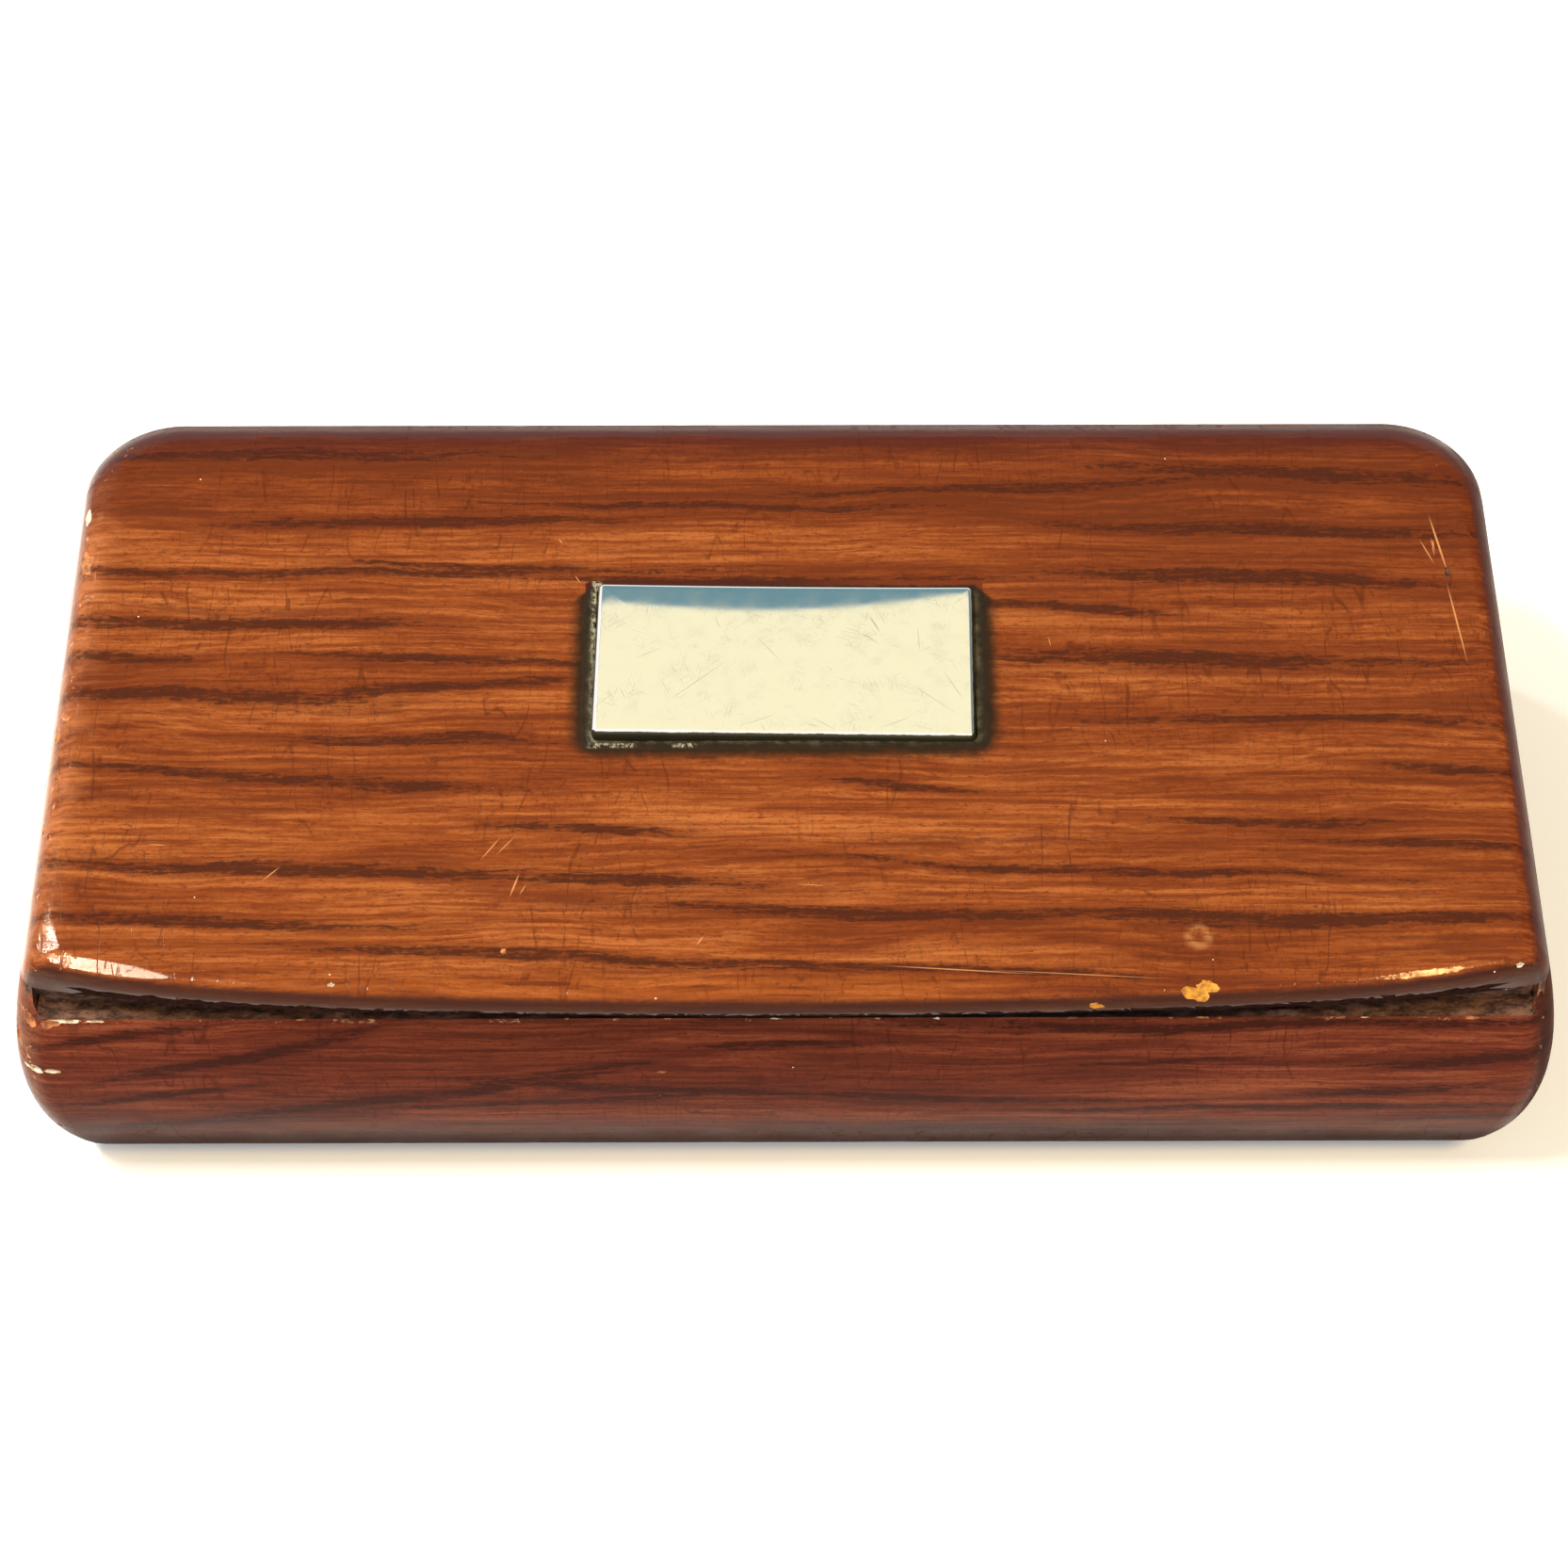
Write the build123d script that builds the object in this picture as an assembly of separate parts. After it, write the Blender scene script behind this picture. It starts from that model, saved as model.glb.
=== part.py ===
from build123d import *
import math
import os

os.makedirs("parts", exist_ok=True)

# A long, low snuff box: a wooden body and lid joined by a hinge cut from the wood itself,
# with a small silver plaque let into the lid.
# Millimetres. X runs along the box, the front is -Y, and the box rests on z = 0.
# The origin is the middle of the whole box's footprint.

# Overall form
overall_length = 82.5
overall_depth = 40.4
lid_top_z = 21.5
lip_overhang = 0.7
widest_z = 10.6
end_bulge_radius = 30.0
front_bulge_radius = 22.0
lid_edge_radius = 1.0
bottom_edge_radius = 2.6
front_corner_radius = 2.0
back_corner_radius = 5.2
section_step = 0.95
steps_below_hinge = 4

# Lid
lid_edge_thickness = 2.2
lip_bow = 1.3
lip_corner_drop = 1.1
lip_undercut = 0.85
lip_corner_radius = 1.2
lip_corner_turn = 75.0
lip_corner_power = 7
bow_steps = 8
lid_well_depth = 0.9

# Hinge
hinge_radius = 3.7
knuckle_count = 9
knuckle_pitch = 8.6
knuckle_allowance = 0.04
cove_gap = 0.06
knuckle_end_gap = 0.06
pin_radius = 0.8
pin_running_gap = 0.05
pin_plug_radius = 1.1
pin_plug_length = 2.0

# Body
end_wall = 5.05
front_wall = 3.75
hinge_wall = 8.75
well_corner_radius = 2.0
well_least_corner_radius = 0.5
floor_thickness = 2.4
floor_ledge = 2.8
recess_height = 2.1
recess_depth = 1.15
recess_end_wall = 0.85
recess_end_radius = 0.9

# Inner rim and linings
rim_thickness = 0.9
rim_rise = 0.6
rim_side_gap = 0.3
lining_thickness = 0.2
lining_fit_gap = 0.02
lining_drop = 0.4

# Silver plaque
plaque_length = 20.7
plaque_depth = 10.2
plaque_rise = 0.5
plaque_sheet = 0.3
plaque_edge_radius = 0.28
plaque_corner_radius = 0.35
plaque_centre_y = 1.4
bed_side_border = 0.65
bed_front_border = 0.55
bed_depth = 0.4
bed_sink = 0.06
bed_corner_radius = 0.4
bed_under_plaque = 0.1
plaque_pin_radius = 0.4
plaque_pin_spacing = 13.0
plaque_pin_bite = 0.6


def bulge(z, radius):
    """How far a bulging side has come in at height z."""
    return radius - math.sqrt(radius ** 2 - (z - widest_z) ** 2)


# Worked out from the sizes above; far lies past every face of the box
far = overall_length
half_length = overall_length / 2
lip_front_y = -overall_depth / 2
body_front_y = lip_front_y + lip_overhang
back_y = overall_depth / 2
seam_z = lid_top_z - lid_edge_thickness
axis_y = back_y - hinge_radius
axis_z = lid_top_z - hinge_radius
barrel_radius = hinge_radius + knuckle_allowance
cove_radius = barrel_radius + cove_gap
well_half_length = half_length - end_wall
well_front_y = body_front_y + front_wall
well_back_y = back_y - hinge_wall
pin_end_x = half_length - bulge(axis_z, end_bulge_radius) - pin_plug_length
bed_floor_z = lid_top_z - bed_depth
bed_top_z = lid_top_z - bed_sink
pin_foot_z = bed_floor_z - plaque_pin_bite


def top_round(z, radius):
    """How far a rounded top edge has come in at height z."""
    rise = max(0.0, z - (lid_top_z - radius))
    return radius - math.sqrt(max(0.0, radius ** 2 - rise ** 2))


def bottom_round(z):
    """How far the rounded bottom edge has come in at height z."""
    drop = max(0.0, bottom_edge_radius - z)
    return bottom_edge_radius - math.sqrt(max(0.0, bottom_edge_radius ** 2 - drop ** 2))


def end_x(z):
    """Half the length of the box at height z."""
    return half_length - bulge(z, end_bulge_radius) - top_round(z, lid_edge_radius) - bottom_round(z)


def rear_y(z):
    """The back of the box at height z: upright above the widest line, rolled over at the top."""
    tuck = bulge(min(z, widest_z), front_bulge_radius)
    return back_y - tuck - top_round(z, hinge_radius) - bottom_round(z)


def rear_outline(z):
    """The back, its two rounded corners and the two ends, from the left front to the right front."""
    x = end_x(z)
    y = rear_y(z)
    r = back_corner_radius
    bend = r * (1 - math.sqrt(0.5))
    back_left = ThreePointArc((-x, y - r, z), (-x + bend, y - bend, z), (-x + r, y, z))
    back = Line((-x + r, y, z), (x - r, y, z))
    back_right = ThreePointArc((x - r, y, z), (x - bend, y - bend, z), (x, y - r, z))
    return back_left, back, back_right


def body_section(z):
    """The body's outline at height z, straight along the front."""
    x = end_x(z)
    y = body_front_y + bulge(z, front_bulge_radius) + bottom_round(z)
    r = front_corner_radius
    bend = r * (1 - math.sqrt(0.5))
    back_left, back, back_right = rear_outline(z)
    right = Line(back_right @ 1, (x, y + r, z))
    front_right = ThreePointArc((x, y + r, z), (x - bend, y + bend, z), (x - r, y, z))
    front = Line((x - r, y, z), (-x + r, y, z))
    front_left = ThreePointArc((-x + r, y, z), (-x + bend, y + bend, z), (-x, y + r, z))
    left = Line((-x, y + r, z), back_left @ 0)
    return Face(Wire([back_left, back, back_right, right, front_right, front, front_left, left]))


def lip_y(z):
    """The foremost line of the lip at height z: full a little below its rounded top edge."""
    span = lid_edge_thickness - lid_edge_radius
    below = min(max(0.0, (lid_top_z - lid_edge_radius) - z), span)
    return lip_front_y + top_round(z, lid_edge_radius) + lip_undercut * (below / span) ** 2


def lid_section(z):
    """The lid's outline at height z. The lip bows forward and meets an arc at each corner."""
    x = end_x(z)
    y = lip_y(z)
    r = lip_corner_radius
    turn = math.radians(lip_corner_turn)
    tucked = y - lip_front_y - top_round(z, lid_edge_radius)
    drop = lip_bow + lip_corner_drop - tucked
    run = x - r + r * math.cos(turn)
    points = []
    for i in range(-bow_steps, bow_steps + 1):
        t = i / bow_steps
        bow = lip_bow * t ** 2 + lip_corner_drop * abs(t) ** lip_corner_power
        points.append((-t * run, y + bow * drop / (lip_bow + lip_corner_drop), z))
    corner_y = y + drop + r * math.sin(turn)
    bend_x = x - r + r * math.cos(turn / 2)
    bend_y = corner_y - r * math.sin(turn / 2)
    back_left, back, back_right = rear_outline(z)
    right = Line(back_right @ 1, (x, corner_y, z))
    front_right = ThreePointArc((x, corner_y, z), (bend_x, bend_y, z), points[0])
    front = Spline(*points)
    front_left = ThreePointArc(points[-1], (-bend_x, bend_y, z), (-x, corner_y, z))
    left = Line((-x, corner_y, z), back_left @ 0)
    return Face(Wire([back_left, back, back_right, right, front_right, front, front_left, left]))


def even_levels(low, high):
    """Heights about one step apart up the box's side: round the bottom, straight up, over the top."""
    quarter = math.pi / 2
    side = axis_z - bottom_edge_radius
    bottom_steps = round(bottom_edge_radius * quarter / section_step)
    side_steps = round(side / section_step)
    top_steps = round(hinge_radius * quarter / section_step)
    levels = [bottom_edge_radius * (1 - math.cos(quarter * i / bottom_steps)) for i in range(bottom_steps)]
    levels += [bottom_edge_radius + side * i / side_steps for i in range(side_steps)]
    levels += [axis_z + hinge_radius * math.sin(quarter * i / top_steps) for i in range(top_steps + 1)]
    return [z for z in levels if round(low, 3) <= round(z, 3) <= round(high, 3)]


def body_form():
    """The outside of the whole box without the lip, from the bottom to the top."""
    return loft([body_section(z) for z in even_levels(0, lid_top_z)])


def lid_form():
    """The outside of the lid, carried down at the back as far as its knuckles reach."""
    lowest = axis_z - hinge_radius - steps_below_hinge * section_step
    return loft([lid_section(z) for z in even_levels(lowest, lid_top_z)])


def block(x, y, z, corner=0.0):
    """A block between pairs of limits, its upright edges rounded."""
    solid = Pos(x[0], y[0], z[0]) * Box(
        x[1] - x[0], y[1] - y[0], z[1] - z[0], align=(Align.MIN, Align.MIN, Align.MIN)
    )
    return fillet(solid.edges().filter_by(Axis.Z), corner) if corner else solid


def rod(radius, x):
    """A rod on the hinge's axis between two limits along the box."""
    upright = Cylinder(radius, x[1] - x[0], align=(Align.CENTER, Align.CENTER, Align.MIN))
    return Pos(x[0], axis_y, axis_z) * Rotation(0, 90, 0) * upright


def knuckle_spans(on_body, gap):
    """The stretches of the hinge on the body or on the lid, opened by a gap at each joint."""
    joints = [knuckle_pitch * (i - (knuckle_count - 2) / 2) for i in range(knuckle_count - 1)]
    edges = [-far] + joints + [far]
    first = 0 if on_body else 1
    return [(edges[i] - gap, edges[i + 1] + gap) for i in range(first, knuckle_count, 2)]


def well_block(inset, z):
    """The hollow of the box, drawn in or let out by an inset, between two heights."""
    return block(
        (-well_half_length + inset, well_half_length - inset),
        (well_front_y + inset, well_back_y - inset),
        z,
        max(well_corner_radius - inset, well_least_corner_radius),
    )


def one(shape):
    """The single solid that a cut or joined shape should be."""
    solids = shape.solids()
    assert len(solids) == 1, len(solids)
    return solids[0]


def all_but_knuckles(on_body, z):
    """Everything between two heights, apart from the barrels of the body's or the lid's knuckles."""
    rest = block((-far, far), (-far, far), z)
    for span in knuckle_spans(on_body, gap=-knuckle_end_gap / 2):
        rest -= rod(barrel_radius, span)
    return rest


def make_base_walls(form):
    walls = form - all_but_knuckles(on_body=True, z=(seam_z, far))
    for span in knuckle_spans(on_body=False, gap=knuckle_end_gap / 2):
        walls -= rod(cove_radius, span)
    walls -= well_block(0, (floor_thickness, lid_top_z))
    walls -= well_block(floor_ledge, (-floor_thickness, lid_top_z))
    walls -= make_recess()
    walls -= rod(pin_radius, (-far, far))
    walls -= rod(pin_plug_radius, (-far, -pin_end_x))
    walls -= rod(pin_plug_radius, (pin_end_x, far))
    return one(walls)


def make_recess():
    """The thumb recess under the lip, closed at both ends and rounded into them below."""
    floor_z = seam_z - recess_height
    end = half_length - bulge(seam_z - recess_height / 2, end_bulge_radius) - recess_end_wall
    back = body_front_y + bulge(floor_z, front_bulge_radius) + recess_depth
    cut = block((-end, end), (-far, back), (floor_z, lid_top_z))
    lower = cut.edges().filter_by(Axis.Y).group_by(Axis.Z)[0]
    return fillet(lower, recess_end_radius)


def make_lid_board():
    board = lid_form() - all_but_knuckles(on_body=False, z=(-far, seam_z))
    for span in knuckle_spans(on_body=True, gap=knuckle_end_gap / 2):
        board -= rod(cove_radius, span)
    board -= rod(pin_radius + pin_running_gap, (-far, far))
    board -= well_block(-rim_side_gap, (0, seam_z + lid_well_depth))
    board -= plaque_block(bed_side_border, bed_front_border, (bed_floor_z, far), bed_corner_radius)
    board -= make_plaque_pins()
    return one(board)


def make_floor_board():
    return well_block(floor_ledge, (0, floor_thickness))


def make_inner_rim():
    outer = well_block(0, (floor_thickness, seam_z + rim_rise))
    return one(outer - well_block(rim_thickness, (0, lid_top_z)))


def make_base_lining():
    top = seam_z - lining_drop
    outer = well_block(rim_thickness, (floor_thickness, top))
    inner = well_block(rim_thickness + lining_thickness, (floor_thickness + lining_thickness, lid_top_z))
    return one(outer - inner)


def make_lid_lining():
    ceiling = seam_z + lid_well_depth
    return well_block(lining_fit_gap - rim_side_gap, (ceiling - lining_thickness, ceiling))


def make_hinge_pin():
    return one(rod(pin_radius, (-pin_end_x, pin_end_x)))


def make_pin_plug(form, side):
    span = sorted((side * pin_end_x, side * far))
    return one(form & rod(pin_plug_radius, span))


def plaque_block(side, front, z, corner):
    """A block on the plaque's centre, wider than the plaque by the given borders."""
    x = plaque_length / 2 + side
    y = plaque_depth / 2 + front
    return block((-x, x), (plaque_centre_y - y, plaque_centre_y + y), z, corner)


def make_plaque_pins():
    """Two pins under the plaque, through the mastic and into the lid."""
    height = lid_top_z + plaque_rise - plaque_sheet - pin_foot_z
    pin = Cylinder(plaque_pin_radius, height, align=(Align.CENTER, Align.CENTER, Align.MIN))
    half = plaque_pin_spacing / 2
    return Compound([Pos(x, plaque_centre_y, pin_foot_z) * pin for x in (-half, half)])


def make_silver_plaque():
    """A thin pan, open below, with its top edges rounded over."""
    top = lid_top_z + plaque_rise
    outer = plaque_block(0, 0, (bed_floor_z + bed_under_plaque, top), plaque_corner_radius)
    outer = fillet(outer.faces().sort_by(Axis.Z)[-1].edges(), plaque_edge_radius)
    inner = plaque_block(-plaque_sheet, -plaque_sheet, (0, top - plaque_sheet), 0)
    return one(outer - inner)


def make_plaque_bed():
    """Mastic that fills the recess under and round the plaque and the inside of its pan."""
    spread = plaque_block(bed_side_border, bed_front_border, (bed_floor_z, bed_top_z), bed_corner_radius)
    spread -= plaque_block(0, 0, (bed_floor_z + bed_under_plaque, far), plaque_corner_radius)
    ceiling = lid_top_z + plaque_rise - plaque_sheet
    spread += plaque_block(-plaque_sheet, -plaque_sheet, (bed_floor_z, ceiling), 0)
    return one(spread - make_plaque_pins())


form = body_form()
parts = {
    "base_walls": make_base_walls(form),
    "floor_board": make_floor_board(),
    "inner_rim": make_inner_rim(),
    "base_lining": make_base_lining(),
    "hinge_pin": make_hinge_pin(),
    "pin_plug_left": make_pin_plug(form, -1),
    "pin_plug_right": make_pin_plug(form, 1),
    "lid_board": make_lid_board(),
    "lid_lining": make_lid_lining(),
    "plaque_bed": make_plaque_bed(),
    "silver_plaque": make_silver_plaque(),
    "plaque_pins": make_plaque_pins(),
}
for name, shape in parts.items():
    print(name, shape.is_valid, len(shape.solids()), round(shape.volume, 2))
    export_step(shape, f"parts/{name}.step")
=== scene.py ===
import math
import random

import bmesh
import bpy
from mathutils import Matrix, Vector, noise


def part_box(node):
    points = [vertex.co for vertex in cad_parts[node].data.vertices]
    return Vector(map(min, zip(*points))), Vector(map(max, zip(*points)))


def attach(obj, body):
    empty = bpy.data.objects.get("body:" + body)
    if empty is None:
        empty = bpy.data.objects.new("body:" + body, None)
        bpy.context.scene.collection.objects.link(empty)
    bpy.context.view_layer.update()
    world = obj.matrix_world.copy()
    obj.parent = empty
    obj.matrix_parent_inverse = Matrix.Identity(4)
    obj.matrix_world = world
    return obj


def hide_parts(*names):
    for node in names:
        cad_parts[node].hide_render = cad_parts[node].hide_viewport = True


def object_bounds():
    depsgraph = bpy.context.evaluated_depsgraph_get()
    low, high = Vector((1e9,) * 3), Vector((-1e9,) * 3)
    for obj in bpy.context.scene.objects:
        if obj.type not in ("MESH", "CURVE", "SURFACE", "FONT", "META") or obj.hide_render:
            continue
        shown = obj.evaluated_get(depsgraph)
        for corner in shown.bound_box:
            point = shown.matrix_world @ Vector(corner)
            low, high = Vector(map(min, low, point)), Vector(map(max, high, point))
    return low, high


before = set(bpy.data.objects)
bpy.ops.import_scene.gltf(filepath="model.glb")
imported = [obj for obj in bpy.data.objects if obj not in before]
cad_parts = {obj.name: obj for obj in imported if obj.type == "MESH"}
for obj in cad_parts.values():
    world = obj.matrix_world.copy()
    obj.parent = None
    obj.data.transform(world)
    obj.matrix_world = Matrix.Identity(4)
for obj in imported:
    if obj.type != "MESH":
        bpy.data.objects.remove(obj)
cadLow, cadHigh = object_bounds()
mm = 0.001


# Small helpers for nodes

class Wire:  # a node's output, so that sums and products of outputs make their own nodes
    def __init__(self, socket):
        self.socket = socket

    def __add__(self, other):
        return calc("ADD", self, other)

    def __sub__(self, other):
        return calc("SUBTRACT", self, other)

    def __rsub__(self, other):
        return calc("SUBTRACT", other, self)

    def __mul__(self, other):
        return calc("MULTIPLY", self, other)

    def __abs__(self):
        return calc("ABSOLUTE", self)


def treeOf(*values):  # the node tree that the first wire among the values belongs to
    return next(value.socket.id_data for value in values if isinstance(value, Wire))


def plug(value, socket):  # links a wire, sets anything else as the value
    if isinstance(value, Wire):
        socket.id_data.links.new(value.socket, socket)
    else:
        socket.default_value = value


def plugAll(sockets, values):
    for key, value in values.items():
        plug(value, sockets[key])


def add(tree, kind, inputs=None, **settings):
    made = tree.nodes.new("ShaderNode" + kind)
    for name, value in settings.items():
        setattr(made, name, value)
    plugAll(made.inputs, inputs or {})
    return made


def wire(tree, kind, output, inputs=None, **settings):  # one output of a new node
    return Wire(add(tree, kind, inputs, **settings).outputs[output])


def calc(operation, first, second=0.0):
    return wire(treeOf(first, second), "Math", 0, {0: first, 1: second}, operation=operation)


def larger(first, second):
    return calc("MAXIMUM", first, second)


def vec(operation, first, second=(0, 0, 0), third=(0, 0, 0)):
    output = 1 if operation in ("DOT_PRODUCT", "LENGTH", "DISTANCE") else 0
    return wire(treeOf(first), "VectorMath", output, {0: first, 1: second, 2: third},
                operation=operation)


def ramp(value, low, high, start=0.0, end=1.0):  # a smooth step from low to high
    return wire(treeOf(value), "MapRange", 0,
                {"Value": value, "From Min": low, "From Max": high, "To Min": start, "To Max": end},
                interpolation_type="SMOOTHSTEP")


def band(value, low, high, soft):  # 1 between low and high, 0 outside
    return ramp(value, low - soft, low + soft) * ramp(value, high - soft, high + soft, 1.0, 0.0)


def tint(colour):  # red, green and blue as they show on screen, 0 to 255, turned linear
    if isinstance(colour, Wire) or len(colour) == 4:
        return colour
    shade = []
    for part in colour:
        share = part / 255
        shade.append(share / 12.92 if share <= 0.04045 else ((share + 0.055) / 1.055) ** 2.4)
    return (*shade, 1.0)


def blend(share, under, over):  # a share of the second colour over the first
    return wire(treeOf(share), "Mix", 2, {0: share, 6: tint(under), 7: tint(over)}, data_type="RGBA")


def tones(value, stops):  # a run of colours, each at its own value
    made = add(treeOf(value), "ValToRGB", {0: value})
    keys = made.color_ramp.elements
    while len(keys) < len(stops):
        keys.new(0.5)
    for key, (where, colour) in zip(keys, stops):
        key.position = where
        key.color = tint(colour)
    return Wire(made.outputs[0])


def cloud(position, scale, detail=2.0, roughness=0.5):
    return wire(treeOf(position), "TexNoise", 0,
                {"Vector": position, "Scale": scale, "Detail": detail, "Roughness": roughness})


def joined(x, y, z):
    return wire(treeOf(x, y, z), "CombineXYZ", 0, {0: x, 1: y, 2: z})


def split(vector):
    return [Wire(part) for part in add(treeOf(vector), "SeparateXYZ", {0: vector}).outputs]


def streaks(position, along, across, detail=2.0, roughness=0.5):  # a cloud drawn out along x
    size = wire(treeOf(position), "CombineXYZ", 0, {0: along, 1: across, 2: across})
    return cloud(vec("DIVIDE", position, size), 1.0, detail, roughness)


def rotated(position, angle, **settings):
    return wire(treeOf(position), "VectorRotate", 0, {"Vector": position, "Angle": angle},
                rotation_type="Z_AXIS", **settings)


def bump(height, strength=1.0):  # the height is in millimetres
    return wire(treeOf(height), "Bump", 0, {"Height": height, "Distance": mm, "Strength": strength})


def newGroup(name, takes, gives):
    group = bpy.data.node_groups.new(name, "ShaderNodeTree")
    group.interface.new_socket(name="Position", in_out="INPUT", socket_type="NodeSocketVector")
    for label, value in takes.items():
        kind = "NodeSocketVector" if isinstance(value, tuple) else "NodeSocketFloat"
        socket = group.interface.new_socket(name=label, in_out="INPUT", socket_type=kind)
        socket.default_value = value
    for label in gives:
        group.interface.new_socket(name=label, in_out="OUTPUT", socket_type="NodeSocketFloat")
    given = {socket.name: Wire(socket) for socket in group.nodes.new("NodeGroupInput").outputs}
    return group, given, group.nodes.new("NodeGroupOutput").inputs


def place(group, position, **inputs):  # a group in a material, with its own values
    made = add(treeOf(position), "Group", {"Position": position, **inputs}, node_tree=group)
    return {socket.name: Wire(socket) for socket in made.outputs}


def newMaterial(name):  # with the shader's sockets and the place in millimetres in the piece's frame
    material = bpy.data.materials.new(name)
    material.use_nodes = True
    tree = material.node_tree
    tree.nodes.clear()
    shader = add(tree, "BsdfPrincipled")
    add(tree, "OutputMaterial", {"Surface": Wire(shader.outputs[0])})
    coords = wire(tree, "TexCoord", "Object")
    position = wire(tree, "VectorMath", 0, {0: coords, 3: 1 / mm}, operation="SCALE")
    return material, shader.inputs, position


def facing(position):  # the three parts of the surface's normal
    return split(wire(treeOf(position), "TexCoord", "Normal"))


def seenDirectly(tree):  # 1 for what the camera or a mirror sees, 0 for light that falls on things
    rays = add(tree, "LightPath").outputs
    camera, glossy, clear = (Wire(rays["Is " + kind + " Ray"])
                             for kind in ("Camera", "Glossy", "Transmission"))
    return larger(larger(camera, glossy), clear)


def sized(low, high):  # middle and half size of a box, in millimetres
    return (low + high) / 2 / mm, (high - low) / 2 / mm


def putIn(name, data):  # a new object in the scene
    made = bpy.data.objects.new(name, data)
    bpy.context.scene.collection.objects.link(made)
    return made


# Effects that several finishes share

def makeStrokeGroup():  # one dark brush stroke of the graining, pointed at both ends
    group, given, out = newGroup("brushStroke", {
        "Middle": (0, 0, 0), "Tilt": 0.0, "Half": (8, 0.3, 900), "Depth": 1.0, "Others": 0.0}, ["Mask"])
    offset = vec("SUBTRACT", given["Position"], given["Middle"])
    share = vec("DIVIDE", rotated(offset, given["Tilt"], invert=True), given["Half"])
    inside = 1.0 - vec("DOT_PRODUCT", share, share)
    plug(larger(inside * given["Depth"], given["Others"]), out["Mask"])
    return group


def makeGrainGroup():  # loose graining: feathered strokes, short dashes and fine fibres
    group, given, out = newGroup("paintedGrain", {
        "Length": 22.0, "Width": 1.0, "Fibre": 0.3, "Cover": 0.57}, ["Strokes", "Tone", "Fibres"])
    position, length, width = given["Position"], given["Length"], given["Width"]
    threads = streaks(position, 3.6, given["Fibre"], 4.0, 0.7)
    hairs = streaks(position, 1.3, given["Fibre"] * 0.42, 2.0, 0.6)
    grit = streaks(position, 0.42, 0.24, 3.0, 0.7)
    fibres = ramp(hairs * 0.3 + threads * 0.42 + grit * 0.28, 0.39, 0.61)
    feather = (fibres - 0.5) * 0.16
    bold = streaks(position, length, width, 3.0, 0.55)
    strokes = ramp(bold + feather, given["Cover"], given["Cover"] + 0.2)
    lines = streaks(position, length * 0.45, width * 0.3, 3.0, 0.6)
    lineStrokes = ramp(lines + feather, 0.55, 0.72, 0.0, 0.8)
    shortStrokes = ramp(streaks(position, 2.8, 0.15), 0.58, 0.72, 0.0, 0.65)
    broad = streaks(position, 30.0, 2.6, 4.0, 0.6)
    plug(larger(larger(strokes, lineStrokes), shortStrokes), out["Strokes"])
    plug(ramp(lines, 0.7, 0.3) * 0.33 + ramp(broad, 0.3, 0.7) * 0.38 + fibres * 0.29, out["Tone"])
    plug(fibres, out["Fibres"])
    return group


def makeCrackGroup():  # hairlines in old varnish, mostly across the grain, in patches
    group, given, out = newGroup("varnishCracks", {"Spacing": 1.5, "Reach": 8.0, "Width": 0.02},
                                 ["Cracks"])
    position = given["Position"]
    shown = 0.0
    for scale, part in ((1.0, 1.0), (0.45, 0.7)):
        field = streaks(position, given["Spacing"] * scale, given["Reach"] * scale, 1.0, 0.4)
        line = ramp(abs(field - 0.5), 0.0, given["Width"], part, 0.0)
        broken = ramp(cloud(position, 0.9 / scale), 0.44, 0.54)
        shown = larger(line * broken, shown)
    plug(shown * ramp(cloud(position, 0.13), 0.4, 0.58, 0.15, 1.0), out["Cracks"])
    return group


def makeSpeckGroup():  # dust and tiny flakes, scattered one by one
    group, given, out = newGroup("dustSpecks", {"Spacing": 2.4, "Size": 0.05, "Share": 0.2}, ["Specks"])
    scale = calc("DIVIDE", 1.0, given["Spacing"])
    cells = add(group, "TexVoronoi", {"Vector": given["Position"], "Scale": scale}).outputs
    reach = given["Size"] * scale
    near = ramp(Wire(cells["Distance"]), reach * 0.5, reach, 1.0, 0.0)
    chosen = calc("LESS_THAN", split(Wire(cells["Color"]))[0], given["Share"])
    plug(near * chosen, out["Specks"])
    return group


def makeScratchGroup():  # fine straight scratches in several directions
    group, given, out = newGroup("fineScratches", {"Length": 1.6, "Width": 0.02, "Cover": 0.71},
                                 ["Scratches", "Haze"])
    position = given["Position"]
    shown = 0.0
    for turn in (0.35, 1.15, 1.8, 2.5):
        lines = streaks(rotated(position, turn), given["Length"], given["Width"], 1.0)
        shown = larger(ramp(lines, given["Cover"], given["Cover"] + 0.08), shown)
    plug(shown * ramp(cloud(position, 0.45), 0.4, 0.6), out["Scratches"])
    plug(cloud(position, 0.9, 5.0, 0.65), out["Haze"])
    return group


def makeDirtGroup():  # how far a place lies outside the plate's bedding, with a ragged line
    group, given, out = newGroup("dirtRoundPlate", {"Ragged": 0.7}, ["Away"])
    middle, half = sized(*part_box("plaque_bed"))
    corner = 1.1
    x, y = split(given["Position"])[:2]
    pastX = abs(x - middle.x) - (half.x - corner)
    pastY = abs(y - middle.y) - (half.y - corner)
    beyond = vec("LENGTH", joined(larger(pastX, 0.0), larger(pastY, 0.0), 0.0))
    inside = calc("MINIMUM", larger(pastX, pastY), 0.0)
    rough = cloud(given["Position"], 1.3, 4.0, 0.65) - 0.5
    plug(rough * given["Ragged"] + (beyond + (inside - corner)), out["Away"])
    return group


strokeGroup = makeStrokeGroup()
dirtGroup = makeDirtGroup()
grainGroup = makeGrainGroup()
crackGroup = makeCrackGroup()
speckGroup = makeSpeckGroup()
scratchGroup = makeScratchGroup()
print("shared effects made")


# Grained wood

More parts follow.
